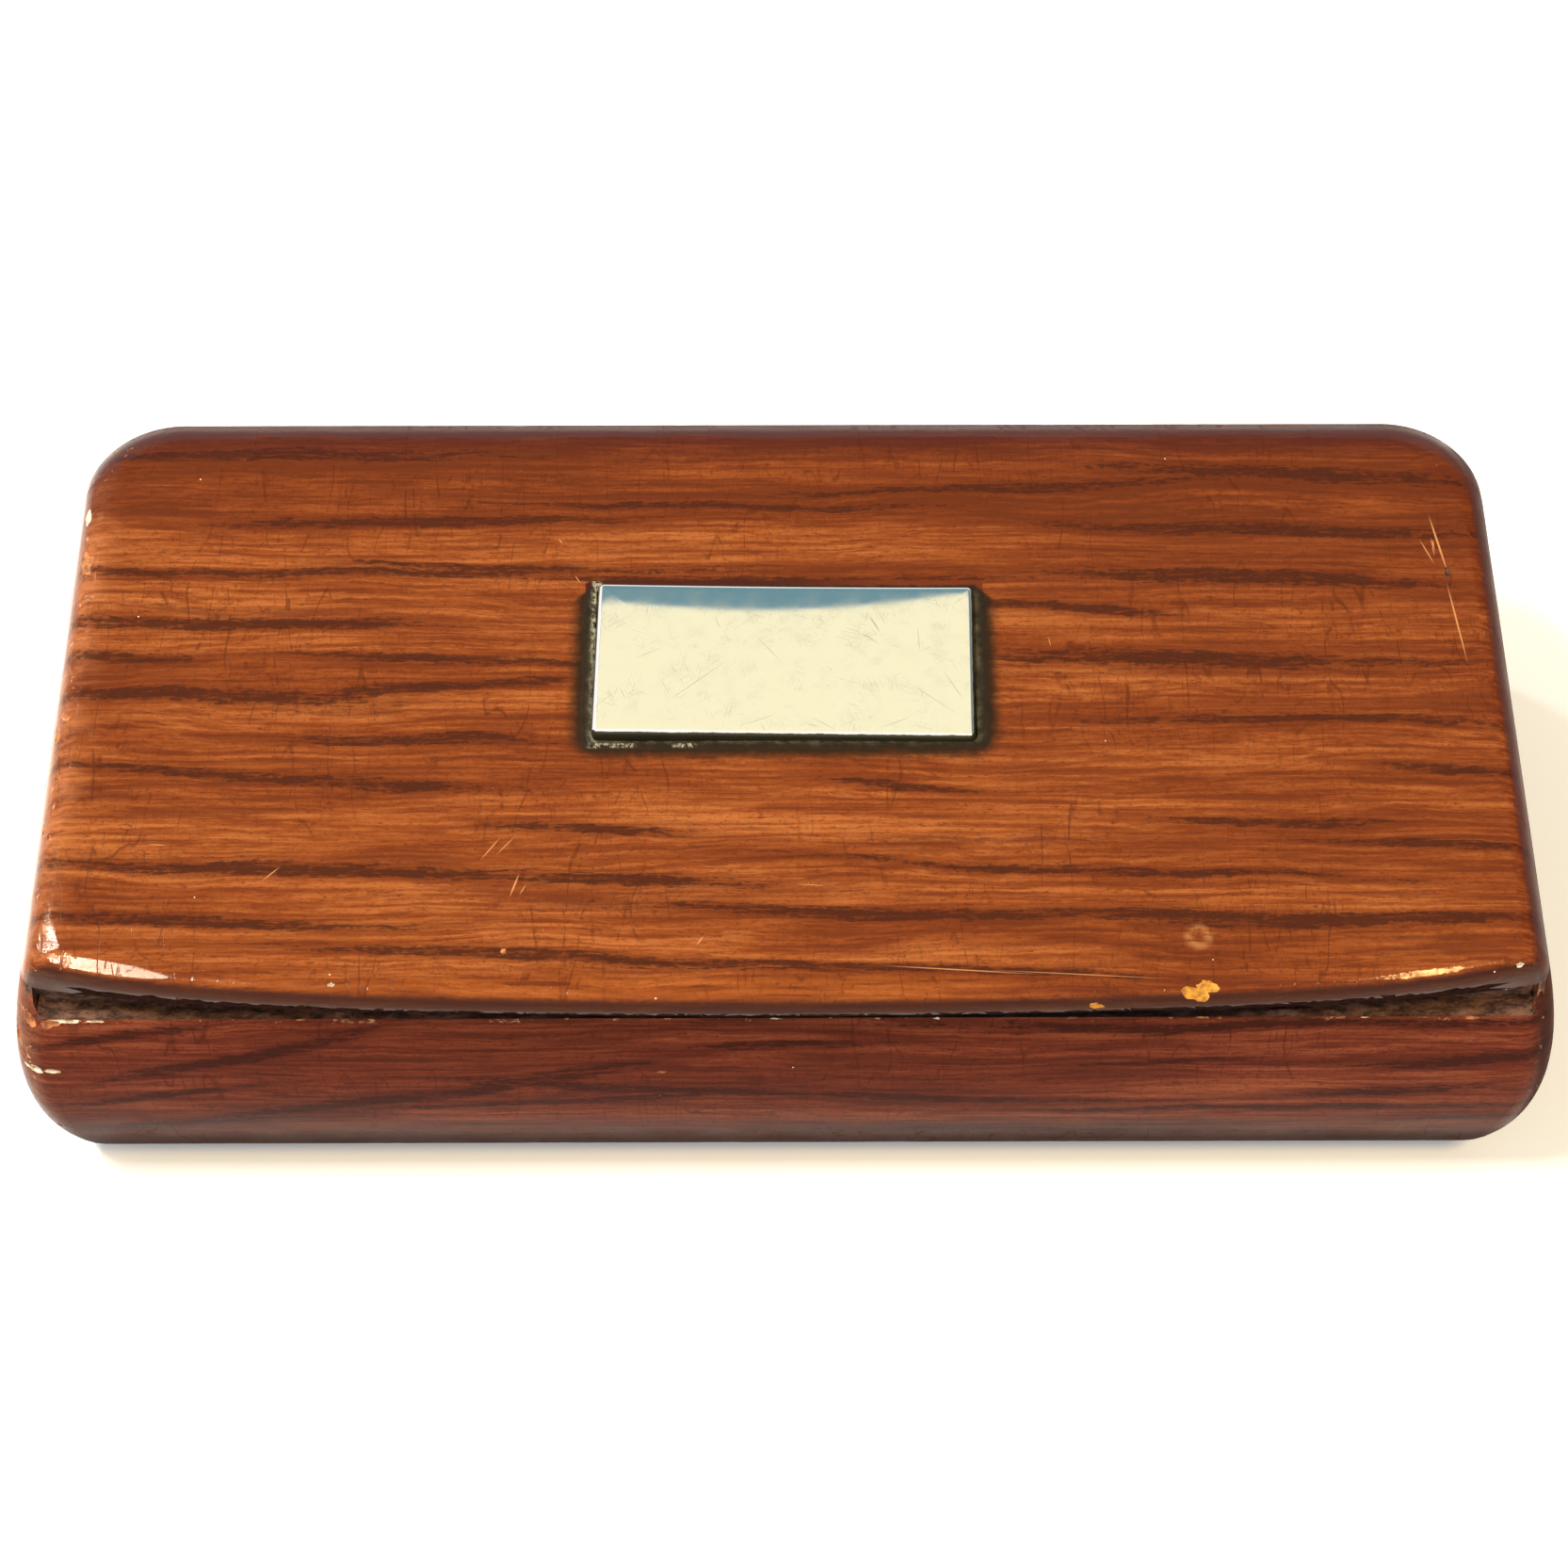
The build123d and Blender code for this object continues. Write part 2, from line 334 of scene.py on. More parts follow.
lidStrokes = [  # left x, y there, right x, y there, width, depth
    (-28.5, 11.1, -10.5, 11.4, 0.75, 1.0), (-39.2, 7.9, -34.0, 7.4, 0.6, 0.9),
    (-36.0, 7.5, -10.0, 7.8, 0.5, 0.8), (-39.0, 4.3, -21.7, 4.0, 0.85, 1.0),
    (-39.5, 2.2, -33.0, 1.8, 0.6, 0.9), (-39.2, -0.6, -24.5, -0.9, 0.8, 1.0),
    (-26.0, -0.7, -13.0, 0.2, 0.5, 0.8), (-26.0, -3.4, -13.9, -3.6, 0.6, 0.9),
    (-38.3, -11.4, -13.0, -12.4, 0.75, 1.0), (-37.9, -14.7, -22.0, -15.3, 0.6, 1.0),
    (-23.0, -16.8, -2.0, -17.9, 0.6, 0.95), (-2.0, -17.6, 15.0, -18.4, 0.45, 0.9),
    (-14.5, -12.2, -3.0, -12.8, 0.65, 1.0), (-3.8, -14.4, 14.5, -15.0, 0.65, 1.0),
    (17.7, 7.3, 34.0, 6.9, 0.95, 1.0), (13.4, 1.9, 32.5, 1.6, 0.95, 1.0),
    (19.0, -2.3, 36.0, -2.6, 0.55, 0.9), (21.6, -9.0, 30.5, -9.2, 0.5, 0.9),
    (29.5, -10.3, 39.2, -10.9, 0.5, 0.9), (12.6, -14.8, 39.2, -15.4, 0.75, 1.0),
    (-38.0, 16.1, -19.0, 16.0, 0.8, 0.9), (20.5, 14.9, 36.5, 14.3, 1.0, 0.9),
    (10.5, 5.5, 19.4, 4.8, 0.5, 0.85), (-25.6, 1.7, -11.5, 1.3, 0.5, 0.9),
    (-21.6, 8.3, -10.1, 7.9, 0.35, 0.8), (-30.2, -6.0, -17.5, -6.7, 0.5, 0.8),
    (-38.0, -5.3, -27.0, -6.1, 0.6, 0.85), (-13.9, -9.3, -6.4, -9.8, 0.55, 0.9),
    (3.0, -6.4, 9.4, -6.9, 0.5, 0.85), (18.0, 10.8, 36.0, 10.2, 0.8, 0.8),
    (4.0, 13.4, 22.0, 13.9, 0.55, 0.8), (33.0, -5.6, 39.0, -6.0, 0.5, 0.8),
    (6.0, -11.6, 27.0, -12.6, 0.4, 0.6), (-12.0, 12.6, 6.0, 12.2, 0.4, 0.7),
    # the last two strokes draw a dark line along the plate's far edge
    (-11.0, 7.25, 3.6, 7.15, 0.42, 1.0), (1.0, 7.1, 11.4, 6.95, 0.3, 0.6),
]
baseStrokes = [  # the same on the front of the base, with heights for y
    (-39.6, 15.0, -32.0, 16.6, 0.55, 0.9), (-34.6, 12.7, -23.5, 15.9, 0.8, 1.0),
    (-31.5, 7.8, -12.5, 12.4, 0.8, 1.0), (-39.4, 6.4, -28.0, 7.9, 0.9, 0.9),
    (-38.0, 10.2, -29.0, 11.6, 0.5, 0.7), (-20.0, 9.5, -3.0, 11.0, 0.5, 0.7),
    (-15.0, 12.1, 2.0, 10.6, 0.75, 1.0), (-1.0, 10.9, 15.5, 10.1, 0.65, 1.0),
    (13.5, 8.9, 37.5, 9.3, 0.6, 1.0), (17.0, 13.7, 24.0, 14.0, 0.4, 0.8),
    (27.5, 10.6, 35.5, 11.4, 0.7, 0.9), (32.5, 13.6, 40.5, 14.4, 0.9, 0.9),
    (34.5, 7.6, 39.5, 8.0, 0.4, 0.8), (18.5, 6.6, 24.5, 6.8, 0.4, 0.7),
    (-12.5, 12.8, -7.5, 13.9, 0.4, 0.7), (-4.0, 15.0, 4.5, 15.3, 0.5, 0.8),
    (12.5, 16.6, 37.0, 16.7, 0.5, 0.9), (5.0, 6.0, 20.0, 5.6, 0.6, 0.6),
]
lidScratches = [  # left x, y there, right x, y there, width, depth
    (36.3, 11.4, 36.9, 7.6, 0.14, 1.0), (36.8, 6.6, 37.3, 1.6, 0.12, 0.9),
    (35.6, 9.8, 36.2, 8.2, 0.1, 0.7), (-16.0, -11.3, -15.1, -10.0, 0.09, 0.8),
    (-15.2, -11.0, -14.3, -9.9, 0.08, 0.7), (-14.4, -13.6, -14.0, -12.3, 0.12, 0.9),
    (-13.9, -13.5, -13.6, -12.9, 0.08, 0.8), (-27.4, -12.6, -26.6, -11.8, 0.09, 0.8),
    (-4.6, -16.6, -4.3, -16.1, 0.1, 0.9), (-11.6, 7.4, -11.3, 6.9, 0.08, 0.8),
    (-33.6, -10.3, -32.7, -10.4, 0.07, 0.7), (14.5, 3.1, 14.6, 2.5, 0.07, 0.7),
    (5.2, -17.9, 12.6, -18.4, 0.09, 0.7), (11.0, -18.2, 19.5, -18.7, 0.07, 0.6),
    (0.6, -12.9, 2.0, -13.0, 0.07, 0.7), (-12.6, 10.0, -12.4, 9.7, 0.1, 0.7),
]
ringMark = {"place": (21.4, -16.2, 21.5), "radius": 0.52, "line": (0.42, 0.0, 0.0, 0.36)}
lidWood = {  # below the colours, a pair is where a ramp starts and ends, then come values or softness
    "tones": [(0.14, (88, 39, 17)), (0.38, (116, 54, 22)), (0.58, (141, 73, 32)),
              (0.88, (187, 112, 58))],
    "stroke": (60, 26, 16), "loose": (86, 37, 19), "halo": (97, 42, 18), "rolledShade": (58, 26, 29),
    "lip": (50, 27, 24), "dirt": (36, 26, 17), "worn": (236, 156, 104), "crack": (70, 28, 12),
    "speck": (236, 214, 178), "amber": (164, 90, 32), "scratch": (214, 150, 94),
    "gloss": 0.13, "endShare": 0.3, "amberShare": 0.2, "scratchShare": 0.7,
    "facing": (0.25, 0.7), "darkerBehind": (5.0, 17.5, -0.02, 0.27),
    "darkerRight": (-10.0, 30.0, -0.02, 0.05), "darkerUp": (0.1, 0.6), "darkerAside": 0.08,
    "turnedFrom": (15.0, 18.8, 0.0, 0.8), "turnedTo": (0.9, 0.6),
    "amberY": (-20.0, -18.6, 0.35), "amberX": (16.0, 6.0), "amberDark": (0.5, 0.1),
    "lipFacing": (-0.5, -0.8, 0.0, 0.88), "dirtAway": (1.0, 0.1, 0.0, 0.97), "dirtZ": (20.8, 21.2),
    "dirtY": (7.1, 6.7), "leftX": (-36.6, -39.0), "leftFacing": (-0.5, -0.2), "leftY": (16.0, 9.0),
    "wornTurn": (0.45, 0.93, 0.08), "wornX": (-36.0, -38.0), "wornCover": 0.6,
}
baseWood = {
    "tones": [(0.14, (78, 34, 23)), (0.38, (106, 48, 31)), (0.58, (132, 66, 42)),
              (0.88, (170, 96, 63))],
    "stroke": (54, 24, 19), "loose": (66, 28, 21), "halo": (84, 36, 26), "rolledShade": (42, 22, 20),
    "worn": (206, 152, 112), "crack": (64, 26, 16), "speck": (230, 206, 176),
    "gloss": 0.02, "endShare": 0.25,
    "facing": (-0.35, -0.75), "shadeLow": (17.0, 4.0, 0.0, 0.12), "toneFront": (-19.0, 10.0, 0.0, -0.1),
    "turnedLow": (9.0, 3.5, 0.0, 0.92), "leftFacing": (-0.1, -0.7),
    "arrisZ": (16.95, 17.4, 0.12), "arrisY": (-17.2, -17.9), "arrisShare": 0.8,
    "cornerTurn": (0.45, 0.8, 0.1), "cornerZ": (9.0, 12.0), "cornerY": (-14.0, -17.0), "wornCover": 0.61,
}
woodLook = {  # what both share
    "onEnd": (0.62, 0.85), "endShift": 57.0, "feather": 2.2, "core": (-0.9, 0.75, 0.0, 0.92),
    "halo": (-6.0, 0.0, 0.0, 0.64), "looseDark": 0.6, "looseShare": 0.75,
    "pores": [(0.5, 0.16, 0.6, 0.74, 0.7), (0.2, 0.11, 0.56, 0.72, 0.55)],
    "tipReach": 1.12, "strokeEdge": (-0.2, 0.9), "bendSlow": 1.5, "bendQuick": 0.22,
    "farCorner": (0.95, 0.6),
    "backFacing": (0.04, 0.4), "backZ": (18.0, 20.3, 0.0, 0.82), "backUneven": -1.6,
    "rightFacing": (0.2, 0.65, 0.0, 0.76), "rubbedAndLit": (0.3, 0.72), "rubbedLitTurned": -0.9,
    "rubbedLitDark": -0.7, "crackShare": 0.6, "speckSize": 0.06, "speckShare": 0.28,
    "wornSoft": 0.06, "wornShare": 0.8,
    "smudge": (0.35, 0.7, 0.07, 0.15), "wornRough": 0.4, "crackRough": 0.15, "dullRough": 0.45,
    "dullRight": (0.25, 0.7), "dullLow": (8.0, 3.0), "dullBack": (0.3, 0.7),
    "bend": 1.48, "mirrorTint": (1.0, 0.78, 0.62, 1.0), "waveHeight": 0.018, "fibreHeight": 0.0012,
    "strokeHeight": 0.003, "crackHeight": -0.006, "wornHeight": -0.03,
}


def placedStrokes(position, strokes):
    mask = -3.0
    for x, y, farX, farY, width, depth in strokes:
        length = math.hypot(farX - x, farY - y) * woodLook["tipReach"]  # pointed ends hardly show
        mask = place(strokeGroup, position, Middle=((x + farX) / 2, (y + farY) / 2, 0.0),
                     Tilt=math.atan2(farY - y, farX - x), Half=(length / 2, width / 2, 900.0),
                     Depth=depth, Others=mask)["Mask"]
    return mask


def wavy(position):  # the brush never runs quite straight
    slow = streaks(position, 13.0, 4.0, 1.0) - 0.5
    quick = streaks(position, 1.6, 0.5) - 0.5
    rise = slow * woodLook["bendSlow"] + quick * woodLook["bendQuick"]
    return vec("ADD", position, joined(0.0, rise, rise))


def pastFarCorners(x, y):  # the bedding's two far corners are rounded off by old varnish
    middle, half = sized(*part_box("plaque_bed"))
    corner = half.x + middle.y + half.y
    fromInside, toInside = woodLook["farCorner"]
    return ramp(abs(x - middle.x) + y, corner - fromInside, corner - toInside)


def grainParts(position, normalX):  # on the two ends the graining runs from front to back
    x, y, z = split(position)
    endPlace = joined(y + woodLook["endShift"], x, z)
    onEnd = ramp(abs(normalX), *woodLook["onEnd"])
    turned = wire(treeOf(position), "Mix", 1, {0: onEnd, 4: position, 5: endPlace}, data_type="VECTOR")
    return place(grainGroup, wavy(turned))


def woodGround(look, position, parts, darkerTone, core, halo):  # the paint, before wear and dirt
    colour = tones(parts["Tone"] - darkerTone, look["tones"])
    colour = blend(halo, colour, look["halo"])
    colour = blend(parts["Strokes"] * woodLook["looseShare"], colour, look["loose"])
    colour = blend(core, colour, look["stroke"])
    for along, across, low, high, share in woodLook["pores"]:
        pores = ramp(streaks(position, along, across, 2.0, 0.6), low, high)
        colour = blend(pores * share, colour, look["loose"])
    return colour


def dressLid(look, colour, position, normalY, dark):  # amber and painted shade on the lip, dirt by the plate
    x, y, z = split(position)
    amber = band(y, *look["amberY"]) * ramp(x, *look["amberX"])
    amber = amber * (ramp(dark, *look["amberDark"]) * look["amberShare"])
    colour = blend(amber, colour, look["amber"])
    # painted shade on the lip's front faces
    colour = blend(ramp(normalY, *look["lipFacing"]), colour, look["lip"])
    away = place(dirtGroup, position)["Away"]
    dirt = ramp(away, *look["dirtAway"]) * ramp(z, *look["dirtZ"]) * ramp(y, *look["dirtY"])
    return blend(dirt * (1.0 - pastFarCorners(x, y)), colour, look["dirt"])


def wornEdges(look, position, normalX, normalZ, onLid):  # paint rubbed through on the edges
    x, y, z = split(position)
    if onLid:
        edge = band(normalZ, *look["wornTurn"]) * ramp(x, *look["wornX"])
    else:
        arris = band(z, *look["arrisZ"]) * ramp(y, *look["arrisY"])
        corner = ramp(z, *look["cornerZ"]) * ramp(y, *look["cornerY"])
        corner = band(abs(normalX), *look["cornerTurn"]) * corner
        edge = larger(arris * look["arrisShare"], corner)
    cover = look["wornCover"]
    patch = cloud(position, 1.1, 4.0, 0.65)
    return edge * ramp(patch, cover, cover + woodLook["wornSoft"], 0.0, woodLook["wornShare"])


def scratchedLid(look, position, shown, fibres):  # placed scratches and the ring left by a drop
    drawn = ramp(placedStrokes(position, lidScratches), *woodLook["strokeEdge"])
    scratched = drawn * (shown * look["scratchShare"])
    ring = abs(vec("DISTANCE", position, ringMark["place"]) - ringMark["radius"])
    return larger(scratched, ramp(ring, *ringMark["line"]) * fibres)


def grainedWood(name, look, strokes, onLid):
    material, shader, position = newMaterial(name)
    x, y, z = split(position)
    normalX, normalY, normalZ = facing(position)
    parts = grainParts(position, normalX)
    shared = woodLook

    # the bold strokes that show from the front, each where it lies
    shown = ramp(normalZ if onLid else normalY, *look["facing"])
    placed = placedStrokes(wavy(position if onLid else joined(x, z, y)), strokes)
    feather = (parts["Fibres"] - 0.5) * shared["feather"] + placed
    core = ramp(feather, *shared["core"]) * shown
    halo = ramp(feather, *shared["halo"]) * shown
    dark = larger(core, parts["Strokes"] * shared["looseDark"])

    # lighter at the front of the lid, browner behind; painted shade darkens the lid's back edge, the
    # rolled-over backs and the base low down, where it curves under
    uneven = parts["Tone"] * shared["backUneven"] + z
    turned = ramp(normalY, *shared["backFacing"]) * ramp(uneven, *shared["backZ"])
    if onLid:
        # the lid's top darkens towards the back and the right
        darkerTone = ramp(y, *look["darkerBehind"]) + ramp(x, *look["darkerRight"]) + look["darkerAside"]
        darkerTone = darkerTone * ramp(normalZ, *look["darkerUp"]) - look["darkerAside"]
        turned = larger(ramp(y, *look["turnedFrom"]) * ramp(normalY, *look["turnedTo"]), turned)
        left = ramp(x, *look["leftX"]) * ramp(normalY, *look["leftFacing"]) * ramp(y, *look["leftY"])
    else:
        # painted shade: the base darkens towards the bottom, where it curves under
        darkerTone = ramp(z, *look["shadeLow"]) + ramp(y, *look["toneFront"])
        turned = larger(ramp(z, *look["turnedLow"]), turned)
        left = ramp(normalX, *look["leftFacing"])
    colour = woodGround(look, position, parts, darkerTone, core, halo)
    if onLid:
        colour = dressLid(look, colour, position, normalY, dark)
    # painted shade on the rolled-over back edges and the low part of the base
    colour = blend(turned, colour, look["rolledShade"])

    # painted shade darkens the right end; the left end is lighter, partly with rubbed wear and partly
    # with painted light from the left
    colour = blend(ramp(normalX, *shared["rightFacing"]), colour, look["rolledShade"])
    rubbedAndLit = ramp(streaks(position, 3.2, 1.5, 5.0, 0.7), *shared["rubbedAndLit"])
    rubbedAndLit = rubbedAndLit * (turned * shared["rubbedLitTurned"] + 1.0) * left
    rubbedAndLit = rubbedAndLit * (dark * shared["rubbedLitDark"] + 1.0) * look["endShare"]
    colour = blend(rubbedAndLit, colour, look["worn"])

    # cracks, dust, worn edges and scratches
    cracks = place(crackGroup, position)["Cracks"]
    colour = blend(cracks * shared["crackShare"], colour, look["crack"])
    specks = place(speckGroup, position, Size=shared["speckSize"], Share=shared["speckShare"])["Specks"]
    colour = blend(specks, colour, look["speck"])
    worn = wornEdges(look, position, normalX, normalZ, onLid)
    colour = blend(worn, colour, look["worn"])
    if onLid:
        scratched = scratchedLid(look, position, shown, parts["Fibres"])
        colour = blend(scratched, colour, look["scratch"])
        worn = larger(worn, scratched)

    # varnish: glossy, a little wavy, duller where it is cracked, dusty or worn
    dulled = larger(ramp(normalX, *shared["dullRight"]), ramp(z, *shared["dullLow"]))
    dulled = larger(dulled, ramp(normalY, *shared["dullBack"]))
    rough = ramp(cloud(position, 0.35, 4.0, 0.6), *shared["smudge"]) + worn * shared["wornRough"]
    rough = rough + cracks * shared["crackRough"] + dulled * shared["dullRough"]
    height = cloud(position, 0.22) * shared["waveHeight"] + parts["Fibres"] * shared["fibreHeight"]
    height = height + dark * shared["strokeHeight"] + cracks * shared["crackHeight"]
    height = height + worn * shared["wornHeight"]
    plugAll(shader, {
        "Base Color": colour, "Roughness": rough, "IOR": shared["bend"], "Normal": bump(height),
        "Specular IOR Level": look["gloss"], "Specular Tint": shared["mirrorTint"]})
    return material


lidMaterial = grainedWood("grainedLid", lidWood, lidStrokes, True)
baseMaterial = grainedWood("grainedBase", baseWood, baseStrokes, False)
print("grained wood made")


# The bare wood, foil, brass, mastic and silver

recessLook = {
    "deep": (44, 27, 20), "raw": (112, 76, 58), "grit": (142, 118, 102), "flake": (222, 208, 196),
    "lipShadow": (16, 10, 8), "lipShadowMiddle": 3.0, "lipShadowX": (14.0, 27.0, 0.92, 0.0), "gloss": 0.3,
    "lumpHeight": 0.12, "gritHeight": 0.05,
}


def recessWood():  # raw, dirty and rough, with pale flakes, and a painted shadow across its middle under the lid's lip
    look = recessLook
    material, shader, position = newMaterial("roughRecess")
    lumps = streaks(position, 1.0, 0.45, 5.0, 0.7)
    grit = cloud(position, 4.5, 3.0, 0.7)
    flakes = place(speckGroup, position, Spacing=0.9, Size=0.07, Share=0.25)["Specks"]
    # painted shadow under the lid's lip, darkest in the middle
    shadowedMiddle = ramp(abs(split(position)[0] - look["lipShadowMiddle"]), *look["lipShadowX"])
    colour = blend(ramp(lumps, 0.35, 0.65), look["deep"], look["raw"])
    colour = blend(ramp(grit, 0.62, 0.72, 0.0, 0.6), colour, look["grit"])
    colour = blend(flakes, colour, look["flake"])
    colour = blend(shadowedMiddle, colour, look["lipShadow"])
    plugAll(shader, {
        "Base Color": colour, "Roughness": ramp(lumps, 0.3, 0.7, 0.85, 0.6),
        "Specular IOR Level": look["gloss"],
        "Normal": bump(grit * look["gritHeight"] + lumps * look["lumpHeight"])})
    return material


rimLook = {
    "ground": (150, 96, 52), "deep": (84, 48, 24), "dirt": (44, 26, 16), "speck": (176, 132, 84),
    "strokeShare": 0.6, "fibreHeight": 0.02, "dirtHeight": 0.04,
}


def rimWood():  # plain wood with its own grain, oiled and a little dirty
    look = rimLook
    material, shader, position = newMaterial("bareRim")
    parts = place(grainGroup, position, Length=9.0, Width=0.5, Fibre=0.1, Cover=0.6)
    dirt = cloud(position, 0.3, 5.0, 0.7)
    specks = place(speckGroup, position, Spacing=1.6, Size=0.06, Share=0.3)["Specks"]
    colour = blend(parts["Fibres"], look["deep"], look["ground"])
    colour = blend(parts["Strokes"] * look["strokeShare"], colour, look["deep"])
    colour = blend(ramp(dirt, 0.5, 0.75, 0.0, 0.6), colour, look["dirt"])
    colour = blend(specks, colour, look["speck"])
    plugAll(shader, {
        "Base Color": colour, "Roughness": ramp(parts["Fibres"], 0.0, 1.0, 0.62, 0.42),
        "Normal": bump(parts["Fibres"] * look["fibreHeight"] + dirt * look["dirtHeight"])})
    return material


foilLook = {
    "clean": (176, 176, 172), "stained": (126, 112, 92), "snuff": (62, 40, 24), "crease": 5.0,
    "foldHeight": 0.12, "smallHeight": 0.04, "stainHeight": 0.35, "relief": 0.8,
}


def tinFoil():  # dull rolled tin, creased by hand and stained by snuff
    look = foilLook
    material, shader, position = newMaterial("tinFoil")
    tree = treeOf(position)
    bent = wire(tree, "TexNoise", 1, {"Vector": position, "Scale": 0.25, "Detail": 2.0})
    creased = vec("MULTIPLY_ADD", bent, (look["crease"],) * 3, position)
    folds, small = (wire(tree, "TexVoronoi", 0, {"Vector": creased, "Scale": scale},
                         feature="DISTANCE_TO_EDGE") for scale in (0.22, 0.7))
    stain = cloud(position, 0.17, 5.0, 0.65)
    grit = place(speckGroup, position, Spacing=0.8, Size=0.09, Share=0.35)["Specks"]
    snuff = grit * ramp(stain, 0.45, 0.6)
    colour = blend(ramp(stain, 0.42, 0.68), look["clean"], look["stained"])
    height = ramp(small, 0.0, 0.1) * look["smallHeight"] + ramp(folds, 0.0, 0.12) * look["foldHeight"]
    height = stain * look["stainHeight"] + height
    plugAll(shader, {
        "Base Color": blend(snuff, colour, look["snuff"]), "Metallic": 1.0 - snuff,
        "Roughness": ramp(stain, 0.3, 0.7, 0.32, 0.55), "Normal": bump(height, look["relief"])})
    return material


brassLook = {
    "bright": (204, 164, 92), "brown": (112, 78, 44), "drawn": (96, 66, 36), "drawnHeight": 0.006,
}


def brassWire():  # drawn brass gone brown
    look = brassLook
    material, shader, position = newMaterial("brassWire")
    drawn = streaks(position, 6.0, 0.05)
    tarnish = cloud(position, 0.8, 5.0, 0.7)
    colour = blend(ramp(tarnish, 0.4, 0.65), look["bright"], look["brown"])
    plugAll(shader, {
        "Base Color": blend(ramp(drawn, 0.55, 0.75, 0.0, 0.4), colour, look["drawn"]), "Metallic": 1.0,
        "Roughness": ramp(tarnish, 0.3, 0.7, 0.26, 0.5), "Normal": bump(drawn * look["drawnHeight"])})
    return material


masticLook = {
    "deep": (40, 36, 24), "grey": (84, 78, 58), "polish": (168, 164, 142), "gloss": 0.08,
    "lumpHeight": 0.1, "awayFrom": (-0.6, -0.1, 0.0, 0.95), "farDarker": (6.3, 6.5, 0.0, 0.9),
    "painted": (6.78, 6.9), "paintX": (-1.0, 7.0), "uneven": 0.25, "polishShare": 0.75,
    "besideX": (-10.75, -10.45), "besideTo": (-10.0, -10.2), "besideY": (1.0, 3.0, 0.4, 1.0),
    "below": [(-10.3, -8.1, 0.2), (-6.0, -4.8, 0.15)], "belowY": (-4.2, -3.9, 0.06),
}


def darkMastic():  # old dirty bedding compound, grey green, with pale polish left in it
    look = masticLook
    material, shader, position = newMaterial("darkMastic")
    x, y = split(position)[:2]
    lumps = cloud(position, 1.5, 5.0, 0.65)
    away = place(dirtGroup, position, Ragged=0.5)["Away"]
    colour = blend(ramp(lumps, 0.35, 0.68), look["deep"], look["grey"])
    colour = blend(ramp(away, *look["awayFrom"]), colour, lidWood["dirt"])
    # darker along the bedding's far edge
    colour = blend(ramp(y, *look["farDarker"]), colour, lidWood["dirt"])

    # the lid's paint runs over its far edge
    painted = larger(ramp(lumps * look["uneven"] + y, *look["painted"]), pastFarCorners(x, y))
    colour = blend(painted, colour, blend(ramp(x, *look["paintX"]), lidWood["stroke"], lidWood["halo"]))

    # dried polish at the left and below
    pale = ramp(streaks(position, 0.25, 0.5, 5.0, 0.8), 0.46, 0.56)
    beside = ramp(x, *look["besideX"]) * ramp(x, *look["besideTo"]) * ramp(y, *look["besideY"])
    firstRun, secondRun = (band(x, *run) for run in look["below"])
    below = larger(firstRun, secondRun) * band(y, *look["belowY"])
    colour = blend(pale * larger(beside, below) * look["polishShare"], colour, look["polish"])
    plugAll(shader, {
        "Base Color": colour, "Roughness": ramp(lumps, 0.3, 0.7, 0.75, 0.5),
        "Specular IOR Level": look["gloss"], "Normal": bump(lumps * look["lumpHeight"])})
    return material


silverLook = {
    "bright": (253, 251, 246), "tarnish": (240, 230, 208), "grimeAndShade": (52, 50, 34), "pit": (128, 122, 104),
    "grimeShadeBelow": 0.2, "frontGrimeShadeBelow": 0.055, "frontFacing": (-0.15, -0.4), "rightFacing": (0.15, 0.4),
    "grimeShadeEdge": (-0.02, 0.03), "grimeShadeUneven": 0.1, "aboveTop": 0.05, "hazeShare": 0.3,
    "scratchShare": 0.85, "pitShare": 0.75, "drawnShare": 0.38, "scratchRough": 0.08, "grimeShadeRough": 0.35,
    "waveHeight": 0.008, "scratchHeight": -0.0004, "pitHeight": -0.004,
}


plateScratches = [  # left x, y there, right x, y there, width, depth
    (-6.1, -1.3, -3.4, 1.0, 0.06, 1.0), (-1.5, 2.8, -0.3, 1.3, 0.05, 0.9),
    (8.7, 0.4, 9.6, -1.3, 0.06, 1.0), (7.0, -0.5, 9.1, -2.2, 0.05, 0.9),
    (5.3, -3.2, 6.7, -2.6, 0.06, 0.9), (-3.8, 4.1, -3.5, 3.4, 0.06, 0.8),
    (-8.1, 1.4, -6.7, 2.1, 0.05, 0.8), (4.7, 4.2, 5.2, 3.2, 0.14, 0.8),
    (4.3, 3.0, 5.1, 2.4, 0.1, 0.7), (7.3, 3.4, 7.4, 1.9, 0.05, 0.9),
    (-2.1, -3.0, -0.6, -2.4, 0.06, 0.9), (1.5, -2.6, 2.6, -3.3, 0.06, 0.9),
]


